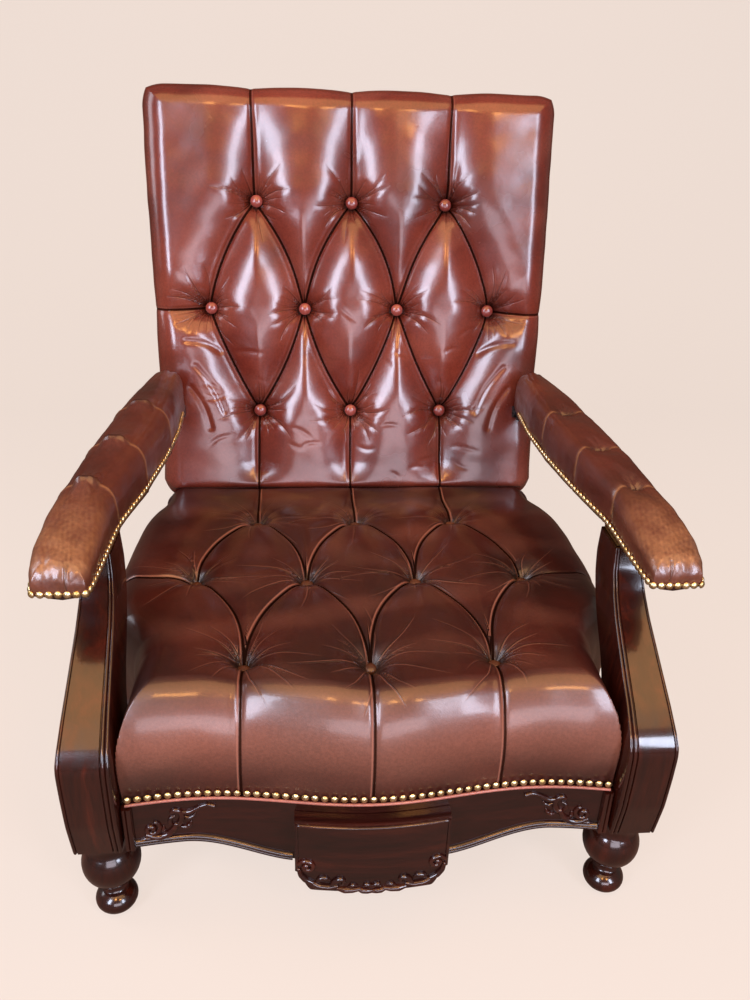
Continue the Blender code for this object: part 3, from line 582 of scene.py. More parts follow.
def wrapped_pad(name, half, low, high, lap, spacing, square, place, relief, hide, square_low=None):
    """A stuffed pad in one hide: flat middle, margins rolled over the edge and down its sides.

    half, low and high bound the flat middle and lap is the length of hide past it. square is 0 for
    round corners in plan and 1 for sharp ones; square_low is the same for the two low corners. place
    gives each point's position and relief the depth of its tufting.
    """
    u, v = np.meshgrid(graded(-half, half, lap, spacing), graded(low, high, lap, spacing), indexing="ij")
    base_u = np.clip(u, -half, half)
    base_v = np.clip(v, low, high)
    past = np.maximum(np.abs(u - base_u), np.abs(v - base_v))
    corners = np.where(v < low, square if square_low is None else square_low, square)
    du, dv = corner_direction(u - base_u, v - base_v, corners)
    points = np.stack(place(base_u, base_v, du, dv, past), axis=-1)
    normal = np.cross(np.gradient(points, axis=0), np.gradient(points, axis=1))
    normal /= np.maximum(np.linalg.norm(normal, axis=-1, keepdims=True), 1e-12)
    sunk, marks = relief(base_u, base_v, du, dv, past)
    points = points - normal * sunk[..., None]
    verts = points.reshape(-1, 3)
    rows, columns = u.shape
    index = np.arange(rows * columns).reshape(rows, columns)
    faces = np.stack([index[:-1, :-1], index[1:, :-1], index[1:, 1:], index[:-1, 1:]], -1).reshape(-1, 4)
    rim = list(index[:, 0]) + list(index[-1, 1:]) + list(index[-2::-1, -1]) + list(index[0, -2:0:-1])
    centre = len(verts)
    verts = np.vstack([verts, verts[rim].mean(axis=0)])
    faces = [tuple(int(i) for i in face) for face in faces]
    faces += [(int(rim[i]), int(rim[i - 1]), centre) for i in range(len(rim))]
    pad = mesh_from(name, verts, faces, hide)
    for label, values in marks.items():
        layer = pad.data.attributes.new(label, "FLOAT", "POINT")
        layer.data.foreach_set("value", np.append(values.ravel(), 0.0).astype(np.float32))
    return pad


def back_pad():
    """Deep-buttoned front of the back, creased and sunk where it meets the arms."""
    buttons = button_grid(BACK_ROWS, BACK_PITCH)
    pleats = diamond_pleats(BACK_ROWS, BACK_PITCH, 0.30, (0.013, -0.007))
    depth, lap = BACK_REAR + BACK_CROWN, 0.155

    def place(base_u, base_v, du, dv, past):
        foot = np.clip(-dv, 0, 1)
        out, down = 0.042 - 0.028 * foot, 0.045 - 0.030 * foot
        run, drop = roll_over(past, out, down, lap, depth)
        s = base_v + dv * run - 0.016 * foot * ease(0.015, 0.030, drop)
        x = (base_u + du * run) * (1 + BACK_SPLAY / BACK_HALF * s / BACK_LENGTH)
        return back_point(x, s, drop - BACK_CROWN)

    def relief(base_u, base_v, du, dv, past):
        a, b = base_u + du * past, base_v + dv * past
        sunk, marks = tufting(a, b, buttons, pleats, 11, pit=0.014, fold=0.027, swell=0.080, reach=0.052,
                              rays=19, ray_depth=0.0030, longest=0.085)
        near_edge = ease(0.02, 0.10, past)
        sunk = sunk * (1 - 0.6 * near_edge) + 0.0012 * ripple(a, b, 0.20, 3) + 0.0014
        sunk += 0.0003 * ripple(a, b, 0.060, 5)
        sunk *= 1 - 0.85 * ease(0.055, 0.0, b)
        sunk += stray_creases(a, b, 71, 34, ((-0.30, 0.03), (0.22, 0.36)), 0.055, 0.0010)
        shade = marks["fold"]
        for side in (-1, 1):
            tuck = np.hypot((a - side * 0.335) / 0.040, (b - 0.205) / 0.075)
            sunk += 0.010 * np.exp(-tuck ** 2)
            shade = np.maximum(shade, 0.30 * np.exp(-(tuck / 0.9) ** 4))
            for start, end in (((0.285, 0.235), (0.235, 0.150)), ((0.295, 0.195), (0.262, 0.120)),
                               ((0.30, 0.28), (0.24, 0.26))):
                line = ((side * start[0], start[1]), (side * end[0], end[1]))
                mark = np.exp(-(pleat_distance(a, b, line, 0.006 * side)[0] / 0.005) ** 2)
                sunk += 0.0022 * mark
        marks["fold"] = shade * (1 - 0.5 * near_edge)
        marks["wear"] = 0.15 * np.clip(ripple(a, b, 0.10, 9), 0, 1)
        return sunk, marks

    pad = wrapped_pad("back_leather", BACK_HALF - 0.042, 0.016, BACK_LENGTH - 0.042, lap, 0.0029, 0.45,
                      place, relief, BACK_HIDE, square_low=0.95)
    return give(pad, "backrest", "back_cushion", slot="back_leather")


def seat_half(y):
    """Half width of the seat: held in between the posts, swelling behind them."""
    return np.interp(y, (-0.335, -0.300, -0.275, -0.250, -0.220, -0.13, -0.02, 0.09, 0.207),
                     (0.3215, 0.3280, 0.345, 0.366, 0.3795, 0.386, 0.381, 0.371, 0.354))


def seat_pad():
    """Deep-buttoned seat, swelling over the front rail and falling towards the back."""
    side_out = 0.046
    half = 0.3205 - side_out
    depth, lap = SEAT_CROWN - RAIL_TOP - 0.0005, 0.185
    buttons = button_grid(SEAT_ROWS, SEAT_PITCH)
    pleats = diamond_pleats(SEAT_ROWS, SEAT_PITCH, 0.34, (0.020, 0.022), 0.30, 0.30)

    def real_u(base_u, y):
        return base_u * (seat_half(y) - side_out) / half

    def place(base_u, base_v, du, dv, past):
        front, rear = np.clip(-dv, 0, 1), np.clip(dv, 0, 1)
        out = side_out + 0.008 * front - 0.034 * rear
        down = 0.075 + 0.020 * front - 0.060 * rear
        run, drop = roll_over(past, out, down, lap, depth)
        sideways = roll_over(past, side_out + 0.008 * front, down, lap, depth)[0]
        y = base_v + dv * run
        x = real_u(base_u, y) + du * sideways
        swing = 1 - ease(-0.42, -0.24, y)
        y = y - WAVE * np.cos(math.tau * x / WAVE_LENGTH) * swing
        y = y - 0.005 * front * np.sin(np.clip((drop - 0.02) / 0.13, 0, 1) * math.pi)
        fall = 0.026 * ease(0.02, 0.19, y) * (1 - ease(0.03, 0.11, drop))
        return x, y, SEAT_CROWN - drop - fall

    def relief(base_u, base_v, du, dv, past):
        a, b = real_u(base_u, base_v) + du * past, base_v + dv * past
        sunk, marks = tufting(a, b, buttons, pleats, 23, pit=0.0145, fold=0.0095, swell=0.062, reach=0.048,
                              rays=15, ray_depth=0.0012, longest=0.120, narrow=2.0)
        low_side = ease(0.06, 0.15, past)
        sunk *= (1 - 0.85 * low_side) * (1 - 0.9 * ease(0.150, 0.192, b))
        sunk += 0.0014 * ripple(a, b, 0.20, 31) + 0.0014
        sunk += 0.0003 * ripple(a, b, 0.06, 33)
        wear = 0.12 * np.clip(ripple(a, b, 0.12, 39), 0, 1)
        # Paler band along the seat's front roll: partly wear, partly a painted sheen.
        wear += 0.40 * np.exp(-((b + 0.490) / 0.050) ** 2) * (np.abs(dv) > 0.4)
        shade = marks["fold"]
        for x, y in buttons:
            shade = np.maximum(shade, 0.95 * np.exp(-(np.hypot(a - x, b - y) / 0.020) ** 2))
        marks["fold"] = shade * (1 - 0.6 * low_side)
        marks["wear"] = np.clip(wear, 0, 0.85)
        return sunk, marks

    pad = wrapped_pad("seat_leather", half, SEAT_FRONT + 0.054, 0.207 - 0.012, lap, 0.0029, 0.85,
                      place, relief, SEAT_HIDE)
    return give(pad, "frame", "seat_cushion", slot="seat_leather")


ARM_INNER = ((-0.404, 0.342), (-0.350, 0.340), (-0.240, 0.338), (-0.140, 0.320), (-0.020, 0.306),
             (0.080, 0.301), (0.205, 0.306), (0.238, 0.310))
ARM_OUTER = ((-0.404, 0.410), (-0.345, 0.419), (-0.285, 0.418), (-0.190, 0.408), (-0.075, 0.399),
             (0.075, 0.384), (0.205, 0.367), (0.238, 0.362))


def arm_edges(y):
    """Distances of an arm's inner and outer edges from the middle of the chair."""
    inner = np.interp(y, *zip(*ARM_INNER))
    outer = np.interp(y, *zip(*ARM_OUTER))
    return inner, outer


ARM_FLAT = 0.030
ARM_SIDE_ROLL = 0.021
ARM_FRONT_ROLL = 0.020
ARM_FRONT = -0.403 + ARM_FRONT_ROLL
ARM_REAR = 0.237 - ARM_SIDE_ROLL
ARM_LAP = 0.085
ARM_SQUARE = 0.80


def arm_surface(side):
    """Turns a place on an arm's hide into a point: wider and lower towards the front."""
    depth = ARM_CROWN - ARM_LOW

    def place(base_u, base_v, du, dv, past):
        front = np.clip(-dv, 0, 1)
        out = ARM_SIDE_ROLL + (ARM_FRONT_ROLL - ARM_SIDE_ROLL) * front
        run, drop = roll_over(past, out, 0.034 + 0.016 * front, ARM_LAP, depth)
        y = base_v + dv * run
        inner, outer = arm_edges(y)
        middle, reach = (inner + outer) / 2, (outer - inner) / 2 - ARM_SIDE_ROLL
        x = middle + base_u / ARM_FLAT * reach + du * run
        top = np.interp(y, (-0.405, -0.38, -0.28, -0.15, 0.10, 0.24),
                        (0.579, 0.586, 0.604, 0.616, ARM_CROWN, 0.615))
        crown = 0.003 * (base_u / ARM_FLAT) ** 2 * (1 - drop / depth)
        return side * x, y, ARM_LOW + (top - ARM_LOW) * (1 - drop / depth) - crown

    return place


def arm_pad(side, name):
    """Arm pad drawn in at three cross pleats, its dye rubbed away towards the front."""
    def relief(base_u, base_v, du, dv, past):
        a, b = base_u + du * past, base_v + dv * past
        sunk = 0.0006 * ripple(a, b, 0.07, 51) + 0.0004 + 0.0003 * ripple(a, b, 0.025, 53)
        shade = np.zeros_like(a)
        crease_wear = np.zeros_like(a)
        middle = np.exp(-(a / 0.024) ** 4)
        for at in ARM_PUFF_Y:
            d = b - at + 5.0 * np.clip(np.abs(a) - 0.018, 0, 0.05) ** 2
            sunk += (0.0015 + 0.0085 * middle) * np.exp(-(np.abs(d) / 0.026) ** 1.4)
            sunk += 0.0030 * middle * np.exp(-(d / 0.0045) ** 2) + 0.0010 * np.exp(-(d / 0.003) ** 2)
            shade = np.maximum(shade, 0.65 * middle * np.exp(-(d / 0.0042) ** 2))
            line = np.exp(-(d / 0.0022) ** 2) * (past < 0.06)
            crease_wear = np.maximum(crease_wear, (1 - middle) * line)
            rng = np.random.default_rng(int(1000 + at * 1000))
            for ray, bow, strength in pucker_rays(0.0, at, 13, rng, [0.0, math.pi], 0.030):
                distance = pleat_distance(a, b, ray, bow)[0]
                sunk += 0.0011 * strength * np.exp(-(distance / 0.0030) ** 2)
        dart = pleat_distance(a, b, ((-0.024, -0.446), (-0.020, -0.402)))[0]
        sunk += 0.0016 * np.exp(-(dart / 0.0030) ** 2)
        shade = np.clip(shade + 0.5 * np.exp(-(dart / 0.0022) ** 2), 0, 1)
        patches = 0.62 + 0.25 * ripple(a, b, 0.05, 57) + 0.22 * ripple(a, b, 0.009, 58)
        tan = (1 - ease(-0.39, -0.20, b)) * patches * (1 - 0.85 * ease(0.016, 0.046, past))
        wear = np.maximum(0.9 * tan, 0.85 * crease_wear)
        return sunk, {"fold": shade, "wear": np.clip(wear, 0, 0.95)}

    pad = wrapped_pad("arm_leather_" + name, ARM_FLAT, ARM_FRONT, ARM_REAR, ARM_LAP, 0.0026, ARM_SQUARE,
                      arm_surface(side), relief, ARM_HIDE)
    return give(pad, "arm_" + name, "arm_pad_" + name, slot="arm_leather")


def footrest_pad():
    """Thin plain pad on the sliding board."""
    half, front, rear = 0.072, -0.445, -0.116
    top, depth, lap = 0.2347, 0.0167, 0.026

    def place(base_u, base_v, du, dv, past):
        run, drop = roll_over(past, 0.010, 0.012, lap, depth)
        return base_u + du * run, base_v + dv * run, top - drop

    def relief(base_u, base_v, du, dv, past):
        a, b = base_u + du * past, base_v + dv * past
        crown = 0.0035 * (1 - (1 - (base_u / half) ** 2) * (1 - ((base_v + 0.280) / 0.165) ** 2))
        sunk = crown * (1 - ease(0.0, 0.02, past)) + 0.0003 * ripple(a, b, 0.04, 61) + 0.0003
        return sunk, {"wear": 0.2 * np.clip(ripple(a, b, 0.06, 63), 0, 1)}

    pad = wrapped_pad("footrest_leather", half, front, rear, lap, 0.0040, 0.5, place, relief, SEAT_HIDE)
    return give(pad, "footrest", "footrest_pad", slot="seat_leather")


# ---------------------------------------------------------------- leather buttons and nails

def turned_mesh(name, profile, material, segments=24):
    """Mesh of revolution about Z from (radius, height) points."""
    bm = bmesh.new()
    line = [bm.verts.new((r, 0, z)) for r, z in profile]
    edges = [bm.edges.new(pair) for pair in zip(line, line[1:])]
    bmesh.ops.spin(bm, geom=line + edges, cent=(0, 0, 0), axis=(0, 0, 1), angle=math.tau, steps=segments)
    bmesh.ops.remove_doubles(bm, verts=bm.verts, dist=1e-5)
    bmesh.ops.recalc_face_normals(bm, faces=bm.faces)
    mesh = bpy.data.meshes.new(name)
    bm.to_mesh(mesh)
    bm.free()
    return new_object(name, mesh, material)


def leather_buttons(name, places, facing, radius, hide):
    """Domed leather-covered buttons with a pressed rim, as one piece."""
    profile = [(0.0, -0.006), (radius * 0.82, -0.006), (radius * 0.98, -0.003), (radius, 0.0),
               (radius * 0.95, 0.0022), (radius * 0.84, 0.0036), (radius * 0.62, 0.0050),
               (radius * 0.34, 0.0060), (0.0, 0.0063)]
    parts = []
    for i, (position, roll) in enumerate(places):
        button = turned_mesh(name + "_part", profile, hide)
        button.matrix_world = Matrix.Translation(position) @ facing.to_matrix().to_4x4() \
            @ Matrix.Rotation(roll, 4, "Z")
        button.data.transform(button.matrix_world)
        button.matrix_world = Matrix.Identity(4)
        parts.append(button)
    buttons = joined(name, parts)
    for face in buttons.data.polygons:
        face.use_smooth = True
    return buttons


def curve_object(name, points, closed=False):
    curve = bpy.data.curves.new(name, "CURVE")
    curve.dimensions = "3D"
    spline = curve.splines.new("POLY")
    spline.points.add(len(points) - 1)
    for slot, point in zip(spline.points, points):
        slot.co = (*point, 1.0)
    spline.use_cyclic_u = closed
    obj = bpy.data.objects.new(name, curve)
    bpy.context.scene.collection.objects.link(obj)
    return obj


def nail_row_tree():
    """Places domed nail heads at even spacing along a line, each facing square away from the work."""
    tree = bpy.data.node_groups.new("close_nailing", "GeometryNodeTree")
    face = tree.interface
    face.new_socket("Line", in_out="INPUT", socket_type="NodeSocketGeometry")
    face.new_socket("Spacing", in_out="INPUT", socket_type="NodeSocketFloat")
    face.new_socket("Head", in_out="INPUT", socket_type="NodeSocketObject")
    face.new_socket("Outward", in_out="INPUT", socket_type="NodeSocketFloat")
    face.new_socket("Brass", in_out="INPUT", socket_type="NodeSocketMaterial")
    face.new_socket("Nails", in_out="OUTPUT", socket_type="NodeSocketGeometry")
    start = tree.nodes.new("NodeGroupInput")
    end = tree.nodes.new("NodeGroupOutput")
    dots = add_node(tree, "GeometryNodeCurveToPoints", {"Curve": start.outputs["Line"],
                                                        "Length": start.outputs["Spacing"]}, mode="LENGTH")
    cross = add_node(tree, "ShaderNodeVectorMath", {0: dots.outputs["Tangent"]}, operation="CROSS_PRODUCT")
    cross.inputs[1].default_value = (0, 0, 1)
    away = add_node(tree, "ShaderNodeVectorMath", {0: cross.outputs[0], "Scale": start.outputs["Outward"]},
                    operation="SCALE")
    turn = add_node(tree, "FunctionNodeAlignRotationToVector", {"Vector": away.outputs[0]}, axis="Z")
    size = add_node(tree, "FunctionNodeRandomValue", data_type="FLOAT")
    size.inputs[2].default_value = 0.96
    size.inputs[3].default_value = 1.04
    head = add_node(tree, "GeometryNodeObjectInfo", {"Object": start.outputs["Head"]})
    heads = add_node(tree, "GeometryNodeInstanceOnPoints",
                     {"Points": dots.outputs["Points"], "Instance": head.outputs["Geometry"],
                      "Rotation": turn.outputs[0], "Scale": size.outputs[1]})
    real = add_node(tree, "GeometryNodeRealizeInstances", {"Geometry": heads.outputs[0]})
    painted = add_node(tree, "GeometryNodeSetMaterial", {"Geometry": real.outputs[0],
                                                         "Material": start.outputs["Brass"]})
    tree.links.new(painted.outputs[0], end.inputs[0])
    return tree


NAIL_TREE = nail_row_tree()
NAIL_RADIUS = 0.0050
NAIL_HEAD = turned_mesh("nail_head", [(0.0, -0.0006), (NAIL_RADIUS * 0.8, -0.0006), (NAIL_RADIUS, 0.0),
                                      (NAIL_RADIUS * 0.97, 0.0007), (NAIL_RADIUS * 0.83, 0.0017),
                                      (NAIL_RADIUS * 0.55, 0.0026), (NAIL_RADIUS * 0.25, 0.0031),
                                      (0.0, 0.0032)], NAIL_BRASS, 14)


def nail_row(name, points, spacing, outward, body, node):
    """A row of brass nails along a line, turned into one plain mesh."""
    line = curve_object(name + "_line", points)
    modifier = line.modifiers.new("Nails", "NODES")
    modifier.node_group = NAIL_TREE
    settings = {"Spacing": spacing, "Head": NAIL_HEAD, "Outward": outward, "Brass": NAIL_BRASS}
    for socket in NAIL_TREE.interface.items_tree:
        if socket.name in settings:
            modifier[socket.identifier] = settings[socket.name]
    graph = bpy.context.evaluated_depsgraph_get()
    mesh = bpy.data.meshes.new_from_object(line.evaluated_get(graph))
    bpy.data.objects.remove(line)
    return give(new_object(name, mesh, NAIL_BRASS), body, node, slot="brass_nails")


def welt_cord(name, points, radius, material, closed=False):
    """Leather-covered piping: a round cord along a line, as a mesh."""
    line = curve_object(name, points, closed)
    line.data.bevel_depth = radius
    line.data.bevel_resolution = 3
    line.data.use_fill_caps = True
    graph = bpy.context.evaluated_depsgraph_get()
    mesh = bpy.data.meshes.new_from_object(line.evaluated_get(graph))
    bpy.data.objects.remove(line)
    return new_object(name, mesh, material)


def seat_trim():
    """Nails along the front and sides of the seat, and piping under the front row."""
    xs = np.linspace(-0.316, 0.316, 90)
    row = [(float(x), float(seat_face(x)) - 0.0022, RAIL_TOP + NAIL_LIFT) for x in xs]
    nail_row("seat_nails_front_row", row, SEAT_NAIL_SPACING, 1.0, "frame", "seat_nails_front")
    for side, name in SIDES:
        ys = np.linspace(-0.205, 0.200, 60)
        row = [(side * (float(seat_half(y)) + 0.0016), float(y), RAIL_TOP + NAIL_LIFT) for y in ys]
        nail_row("seat_nails_row_" + name, row, SEAT_NAIL_SPACING, float(side), "frame",
                 "seat_nails_" + name)
    xs = np.linspace(-0.320, 0.320, 90)
    row = [(float(x), float(seat_face(x)) - 0.0022, RAIL_TOP - 0.0018) for x in xs]
    give(welt_cord("seat_piping", row, 0.0021, WELT_HIDE), "frame", "seat_welt", slot="seat_leather")


def arm_trim(side, name):
    """Nails along the arm's lower edge: up one side, round the front and back along the other."""
    past = ARM_LAP - 0.0085
    reach = ARM_FLAT + past
    front = ARM_FRONT - past
    ring = [(-reach, v) for v in np.linspace(0.165, front, 90)]
    ring += [(u, front) for u in np.linspace(-reach, reach, 40)[1:-1]]
    ring += [(reach, v) for v in np.linspace(front, 0.165, 90)]
    u, v = (np.array(values) for values in zip(*ring))
    base_u, base_v = np.clip(u, -ARM_FLAT, ARM_FLAT), np.clip(v, ARM_FRONT, ARM_REAR)
    du, dv = corner_direction(u - base_u, v - base_v, ARM_SQUARE)
    x, y, z = arm_surface(side)(base_u, base_v, du, dv, np.full_like(u, past))
    line = np.stack([x + side * 0.0008 * du, y + 0.0008 * dv, z], axis=-1)
    row = [tuple(map(float, p)) for p in smooth_line(line, 4)]
    nail_row("arm_nails_row_" + name, row, ARM_NAIL_SPACING, float(side), "arm_" + name,
             "arm_nails_" + name)


def all_buttons():
    """Leather buttons of the back and the seat, each turned a little from its neighbour."""
    facing = Vector((0, -math.cos(RAKE), math.sin(RAKE))).to_track_quat("Z", "Y")
    places = [(Vector([float(c) for c in back_point(x, s, BACK_BUTTON_T)]), 0.4 * i)
              for i, (x, s) in enumerate(button_grid(BACK_ROWS, BACK_PITCH))]
    buttons = leather_buttons("back_button_set", places, facing, 0.0112, BACK_BUTTON_HIDE)
    give(buttons, "backrest", "back_buttons", slot="back_leather")
    facing = Vector((0, 0, 1)).to_track_quat("Z", "Y")
    places = [(Vector((x, y, SEAT_PIT)), 0.5 * i)
              for i, (x, y) in enumerate(button_grid(SEAT_ROWS, SEAT_PITCH))]
    buttons = leather_buttons("seat_button_set", places, facing, 0.0105, SEAT_BUTTON_HIDE)
    give(buttons, "frame", "seat_buttons", slot="seat_leather")


def back_cover():
    """Plain hide stretched over the rear of the back, piped round its edge."""
    radius = 0.034
    half, high = BACK_HALF - 0.008, BACK_LENGTH - 0.008
    edge = [(half, 0.004)]
    for i in range(13):
        angle = math.radians(90 * i / 12)
        edge.append((half + BACK_SPLAY - radius + radius * math.cos(angle),
                     high - radius + radius * math.sin(angle)))
    edge = edge + [(-x, s) for x, s in edge[::-1]]
    rings = []
    for inset, t in ((0.0, BACK_REAR + 0.0006), (0.0, BACK_REAR + 0.0036), (0.004, BACK_REAR + 0.0052),
                     (0.10, BACK_REAR + 0.0056), (0.22, BACK_REAR + 0.0060)):
        scale_x, scale_s = 1 - inset / half, 1 - inset / (high / 2)
        rings.append([back_point(x * scale_x, high / 2 + (s - high / 2) * scale_s, t) for x, s in edge])
    cover = loft("back_cover_leather", rings, BACK_HIDE, 50)
    piping = welt_cord("back_cover_piping", [back_point(x, s, BACK_REAR + 0.0030) for x, s in edge], 0.0034,
                       BACK_HIDE, closed=True)
    both = joined("outside_back_cover", [cover, piping])
    for label in ("fold", "wear"):
        both.data.attributes.new(label, "FLOAT", "POINT")
    give(both, "backrest", "outside_back", slot="back_leather")


# ---------------------------------------------------------------- mahogany

def loft(name, rings, material, sharp=35):
    """Closed solid through a run of closed rings with equal counts."""
    n = len(rings[0])
    verts = [p for ring in rings for p in ring]
    faces = [(r * n + i, r * n + (i + 1) % n, (r + 1) * n + (i + 1) % n, (r + 1) * n + i)
             for r in range(len(rings) - 1) for i in range(n)]
    faces += [tuple(range(n))[::-1], tuple((len(rings) - 1) * n + i for i in range(n))]
    obj = mesh_from(name, verts, faces, material)
    harden(obj, sharp)
    return obj


def resample(points, count):
    """Points at even spacing along a polyline."""
    points = np.asarray(points, float)
    steps = np.concatenate([[0], np.cumsum(np.linalg.norm(np.diff(points, axis=0), axis=1))])
    where = np.linspace(0, steps[-1], count)
    return np.stack([np.interp(where, steps, points[:, i]) for i in range(points.shape[1])], axis=1)


def smooth_line(points, passes):
    """Round a polyline's corners a little, keeping its ends."""
    points = np.asarray(points, float)
    for _ in range(passes):
        points[1:-1] = 0.25 * points[:-2] + 0.5 * points[1:-1] + 0.25 * points[2:]
    return points


POST_FRONT = ((-0.461, 0.1805), (-0.466, 0.208), (-0.4715, 0.240), (-0.4738, 0.290), (-0.4738, 0.330),
              (-0.470, 0.343), (-0.460, 0.354), (-0.429, 0.378), (-0.396, 0.400), (-0.362, 0.423),
              (-0.328, 0.446), (-0.301, 0.470), (-0.281, 0.495), (-0.270, 0.5240))
POST_REAR = ((-0.3605, 0.1805), (-0.3605, 0.240), (-0.3605, 0.290), (-0.3605, 0.300), (-0.357, 0.312),
             (-0.350, 0.335), (-0.338, 0.356), (-0.312, 0.382), (-0.290, 0.398), (-0.266, 0.417),
             (-0.245, 0.438), (-0.226, 0.462), (-0.212, 0.490), (-0.206, 0.5240))


def bead(x, centre, radius):
    """Height of a half-round bead."""
    return np.sqrt(np.clip(1 - ((x - centre) / radius) ** 2, 0, 1)) * radius


def front_post(side, name):
    """Sawn S-fronted post with two beads worked on the inner edge and one on the outer."""
    count = 96
    front = smooth_line(resample(POST_FRONT, count), 2)
    rear = smooth_line(resample(POST_REAR, count), 2)
    width, sunk_inner, sunk_outer = 0.064, 0.0012, 0.0010
    across = np.concatenate([np.linspace(0, 0.013, 27), np.linspace(0.0136, 0.0545, 12),
                             np.linspace(0.055, width, 19)])
    share = across / width
    relief = np.where(across < 0.0122, -sunk_inner, 0.0010)
    relief = np.where(across > 0.0575, -sunk_outer, relief)
    for centre, radius, sunk in ((0.0030, 0.0026, sunk_inner), (0.0088, 0.0026, sunk_inner),
                                 (0.0612, 0.0022, sunk_outer)):
        worked = np.where(np.abs(across - centre) < radius, bead(across, centre, radius) - sunk, -1)
        relief = np.maximum(relief, worked)
    tangent = np.gradient(front, axis=0)
    tangent /= np.linalg.norm(tangent, axis=1, keepdims=True)
    normal = np.stack([-tangent[:, 1], tangent[:, 0]], axis=1)
    rings = []
    for (fy, fz), (ry, rz), (ny, nz) in zip(front, rear, normal):
        inner = np.interp(fz, (0.180, 0.340, 0.5245), (0.329, 0.3263, 0.345))
        outer = np.interp(fz, (0.180, 0.340, 0.5245), (0.393, 0.393, 0.384))
        ring = [(side * (inner + (outer - inner) * w), fy + ny * r, fz + nz * r)
                for w, r in zip(share, relief)]
        ring += [(side * outer, ry - 0.002, rz), (side * (outer - 0.002), ry, rz),
                 (side * (inner + 0.002), ry, rz), (side * inner, ry - 0.002, rz)]
        rings.append(ring)
    post = loft("front_post_wood_" + name, rings, WOOD_UP, 40)
    return give(post, "frame", "front_post_" + name, slot="mahogany")


def turned_foot(side, name):
    """Turned front foot: collar rings, full bulb, waist and a flattened ball."""
    outline = [(0.0, 0.1795), (0.0362, 0.1795), (0.0388, 0.1775), (0.0394, 0.1745), (0.0384, 0.1712),
               (0.0352, 0.1690), (0.0338, 0.1672), (0.0352, 0.1655), (0.0374, 0.1635), (0.0380, 0.1600),
               (0.0370, 0.1565), (0.0346, 0.1545), (0.0332, 0.1530), (0.0334, 0.1510), (0.0300, 0.1400)]
    outline += [(0.0412 * math.cos(a), 0.098 + 0.0425 * math.sin(a)) for a in
                (math.radians(d) for d in range(44, -64, -6))]
    outline += [(0.0180, 0.0570), (0.0172, 0.0520), (0.0178, 0.0480), (0.0196, 0.0460), (0.0192, 0.0440)]
    outline += [(0.0302 * math.cos(a), 0.0215 + 0.0208 * math.sin(a)) for a in
                (math.radians(d) for d in range(52, -60, -8))]
    outline += [(0.0165, 0.0010), (0.0150, 0.0), (0.0, 0.0)]
    foot = turned_mesh("front_foot_wood_" + name, outline, WOOD_UP, 40)
    foot.data.transform(Matrix.Translation((side * FOOT_X, FOOT_Y, 0)))
    harden(foot, 42)
    return give(foot, "frame", "front_foot_" + name, slot="mahogany")


def bowed(name, xs, front, back, low, high, material, sharp=35):
    """Board whose front, back, lower and upper lines are all functions of x."""
    rings = [[(x, float(front(x)), float(low(x))), (x, float(front(x)), float(high(x))),
              (x, float(back(x)), float(high(x))), (x, float(back(x)), float(low(x)))] for x in xs]
    return loft(name, rings, material, sharp)


def apron_board():
    """Serpentine apron with its opening for the footrest, and the moulding along its lower edge."""
    xs = [float(x) for x in np.linspace(-APRON_HALF, APRON_HALF, 105)]
    board = bowed("apron_wood", xs, seat_face, lambda x: seat_face(x) + 0.022, apron_low,
                  lambda x: RAIL_TOP, WOOD_ACROSS)
    bm = bmesh.new()
    middle = Matrix.Translation((0, -0.5, (WINDOW_LOW + WINDOW_HIGH) / 2))
    extent = Matrix.Diagonal((WINDOW_WIDTH, 0.2, WINDOW_HIGH - WINDOW_LOW, 1))
    bmesh.ops.create_cube(bm, size=1.0, matrix=middle @ extent)
    mesh = bpy.data.meshes.new("apron_opening")
    bm.to_mesh(mesh)
    bm.free()
    opening = new_object("apron_opening", mesh, WOOD_ACROSS, smooth=False)
    add_modifier(board, "BOOLEAN", object=opening, operation="DIFFERENCE", solver="EXACT")
    flatten_modifiers(board)
    bpy.data.objects.remove(opening)
    harden(board, 30)
    give(board, "frame", "apron", slot="mahogany")
    for side, name in SIDES:
        profile = [(0.0, 0.0), (-0.0022, 0.0002), (-0.0042, 0.0018), (-0.0048, 0.0034), (-0.0042, 0.0050),
                   (-0.0026, 0.0062), (-0.0040, 0.0074), (-0.0034, 0.0094), (-0.0016, 0.0106),
                   (0.0, 0.0110)]
        xs = [float(x) for x in np.linspace(side * (TABLET_HALF + 0.0035), side * APRON_HALF, 60)]
        rings = [[(x, float(seat_face(x)) + dy - 0.0005, float(apron_low(x)) + dz) for dy, dz in profile]
                 for x in xs]
        moulding = loft("apron_moulding_" + name, rings, WOOD_ACROSS, 50)
        give(moulding, "frame", "apron_bead_" + name, slot="mahogany")


def stroke(points, radii, face):
    """One carved stroke: a rounded ridge along a line on a face, thinning as its radii do."""
    points = smooth_line(resample(points, 26), 3)
    radii = np.interp(np.linspace(0, 1, 26), np.linspace(0, 1, len(radii)), radii)
    rings = []
    tangent = np.gradient(points, axis=0)
    for (x, z), (tx, tz), r in zip(points, tangent, radii):
        size = math.hypot(tx, tz)
        nx, nz = -tz / size, tx / size
        ring = []
        for k in range(10):
            angle = math.tau * k / 10
            side, up = math.cos(angle) * r, math.sin(angle) * r * CARVING_LIFT
            ring.append((x + nx * side, float(face(x)) - max(up, -0.0012), z + nz * side))
        rings.append(ring)
    return loft("stroke", rings, CARVED_WOOD, 180)


def carved(side, face, strokes):
    """Strokes given for the right-hand half, cut on either half of a face."""
    return [stroke([(side * x, z) for x, z in points], radii, face) for points, radii in strokes]


def volute(centre, size, turns, start):
    """Points of a scroll winding in to its eye."""
    points = []
    for k in range(31):
        radius, angle = size * (1 - 0.80 * k / 30), start + turns * math.tau * k / 30
        points.append((centre[0] + radius * math.cos(angle), centre[1] + radius * math.sin(angle)))
    return points


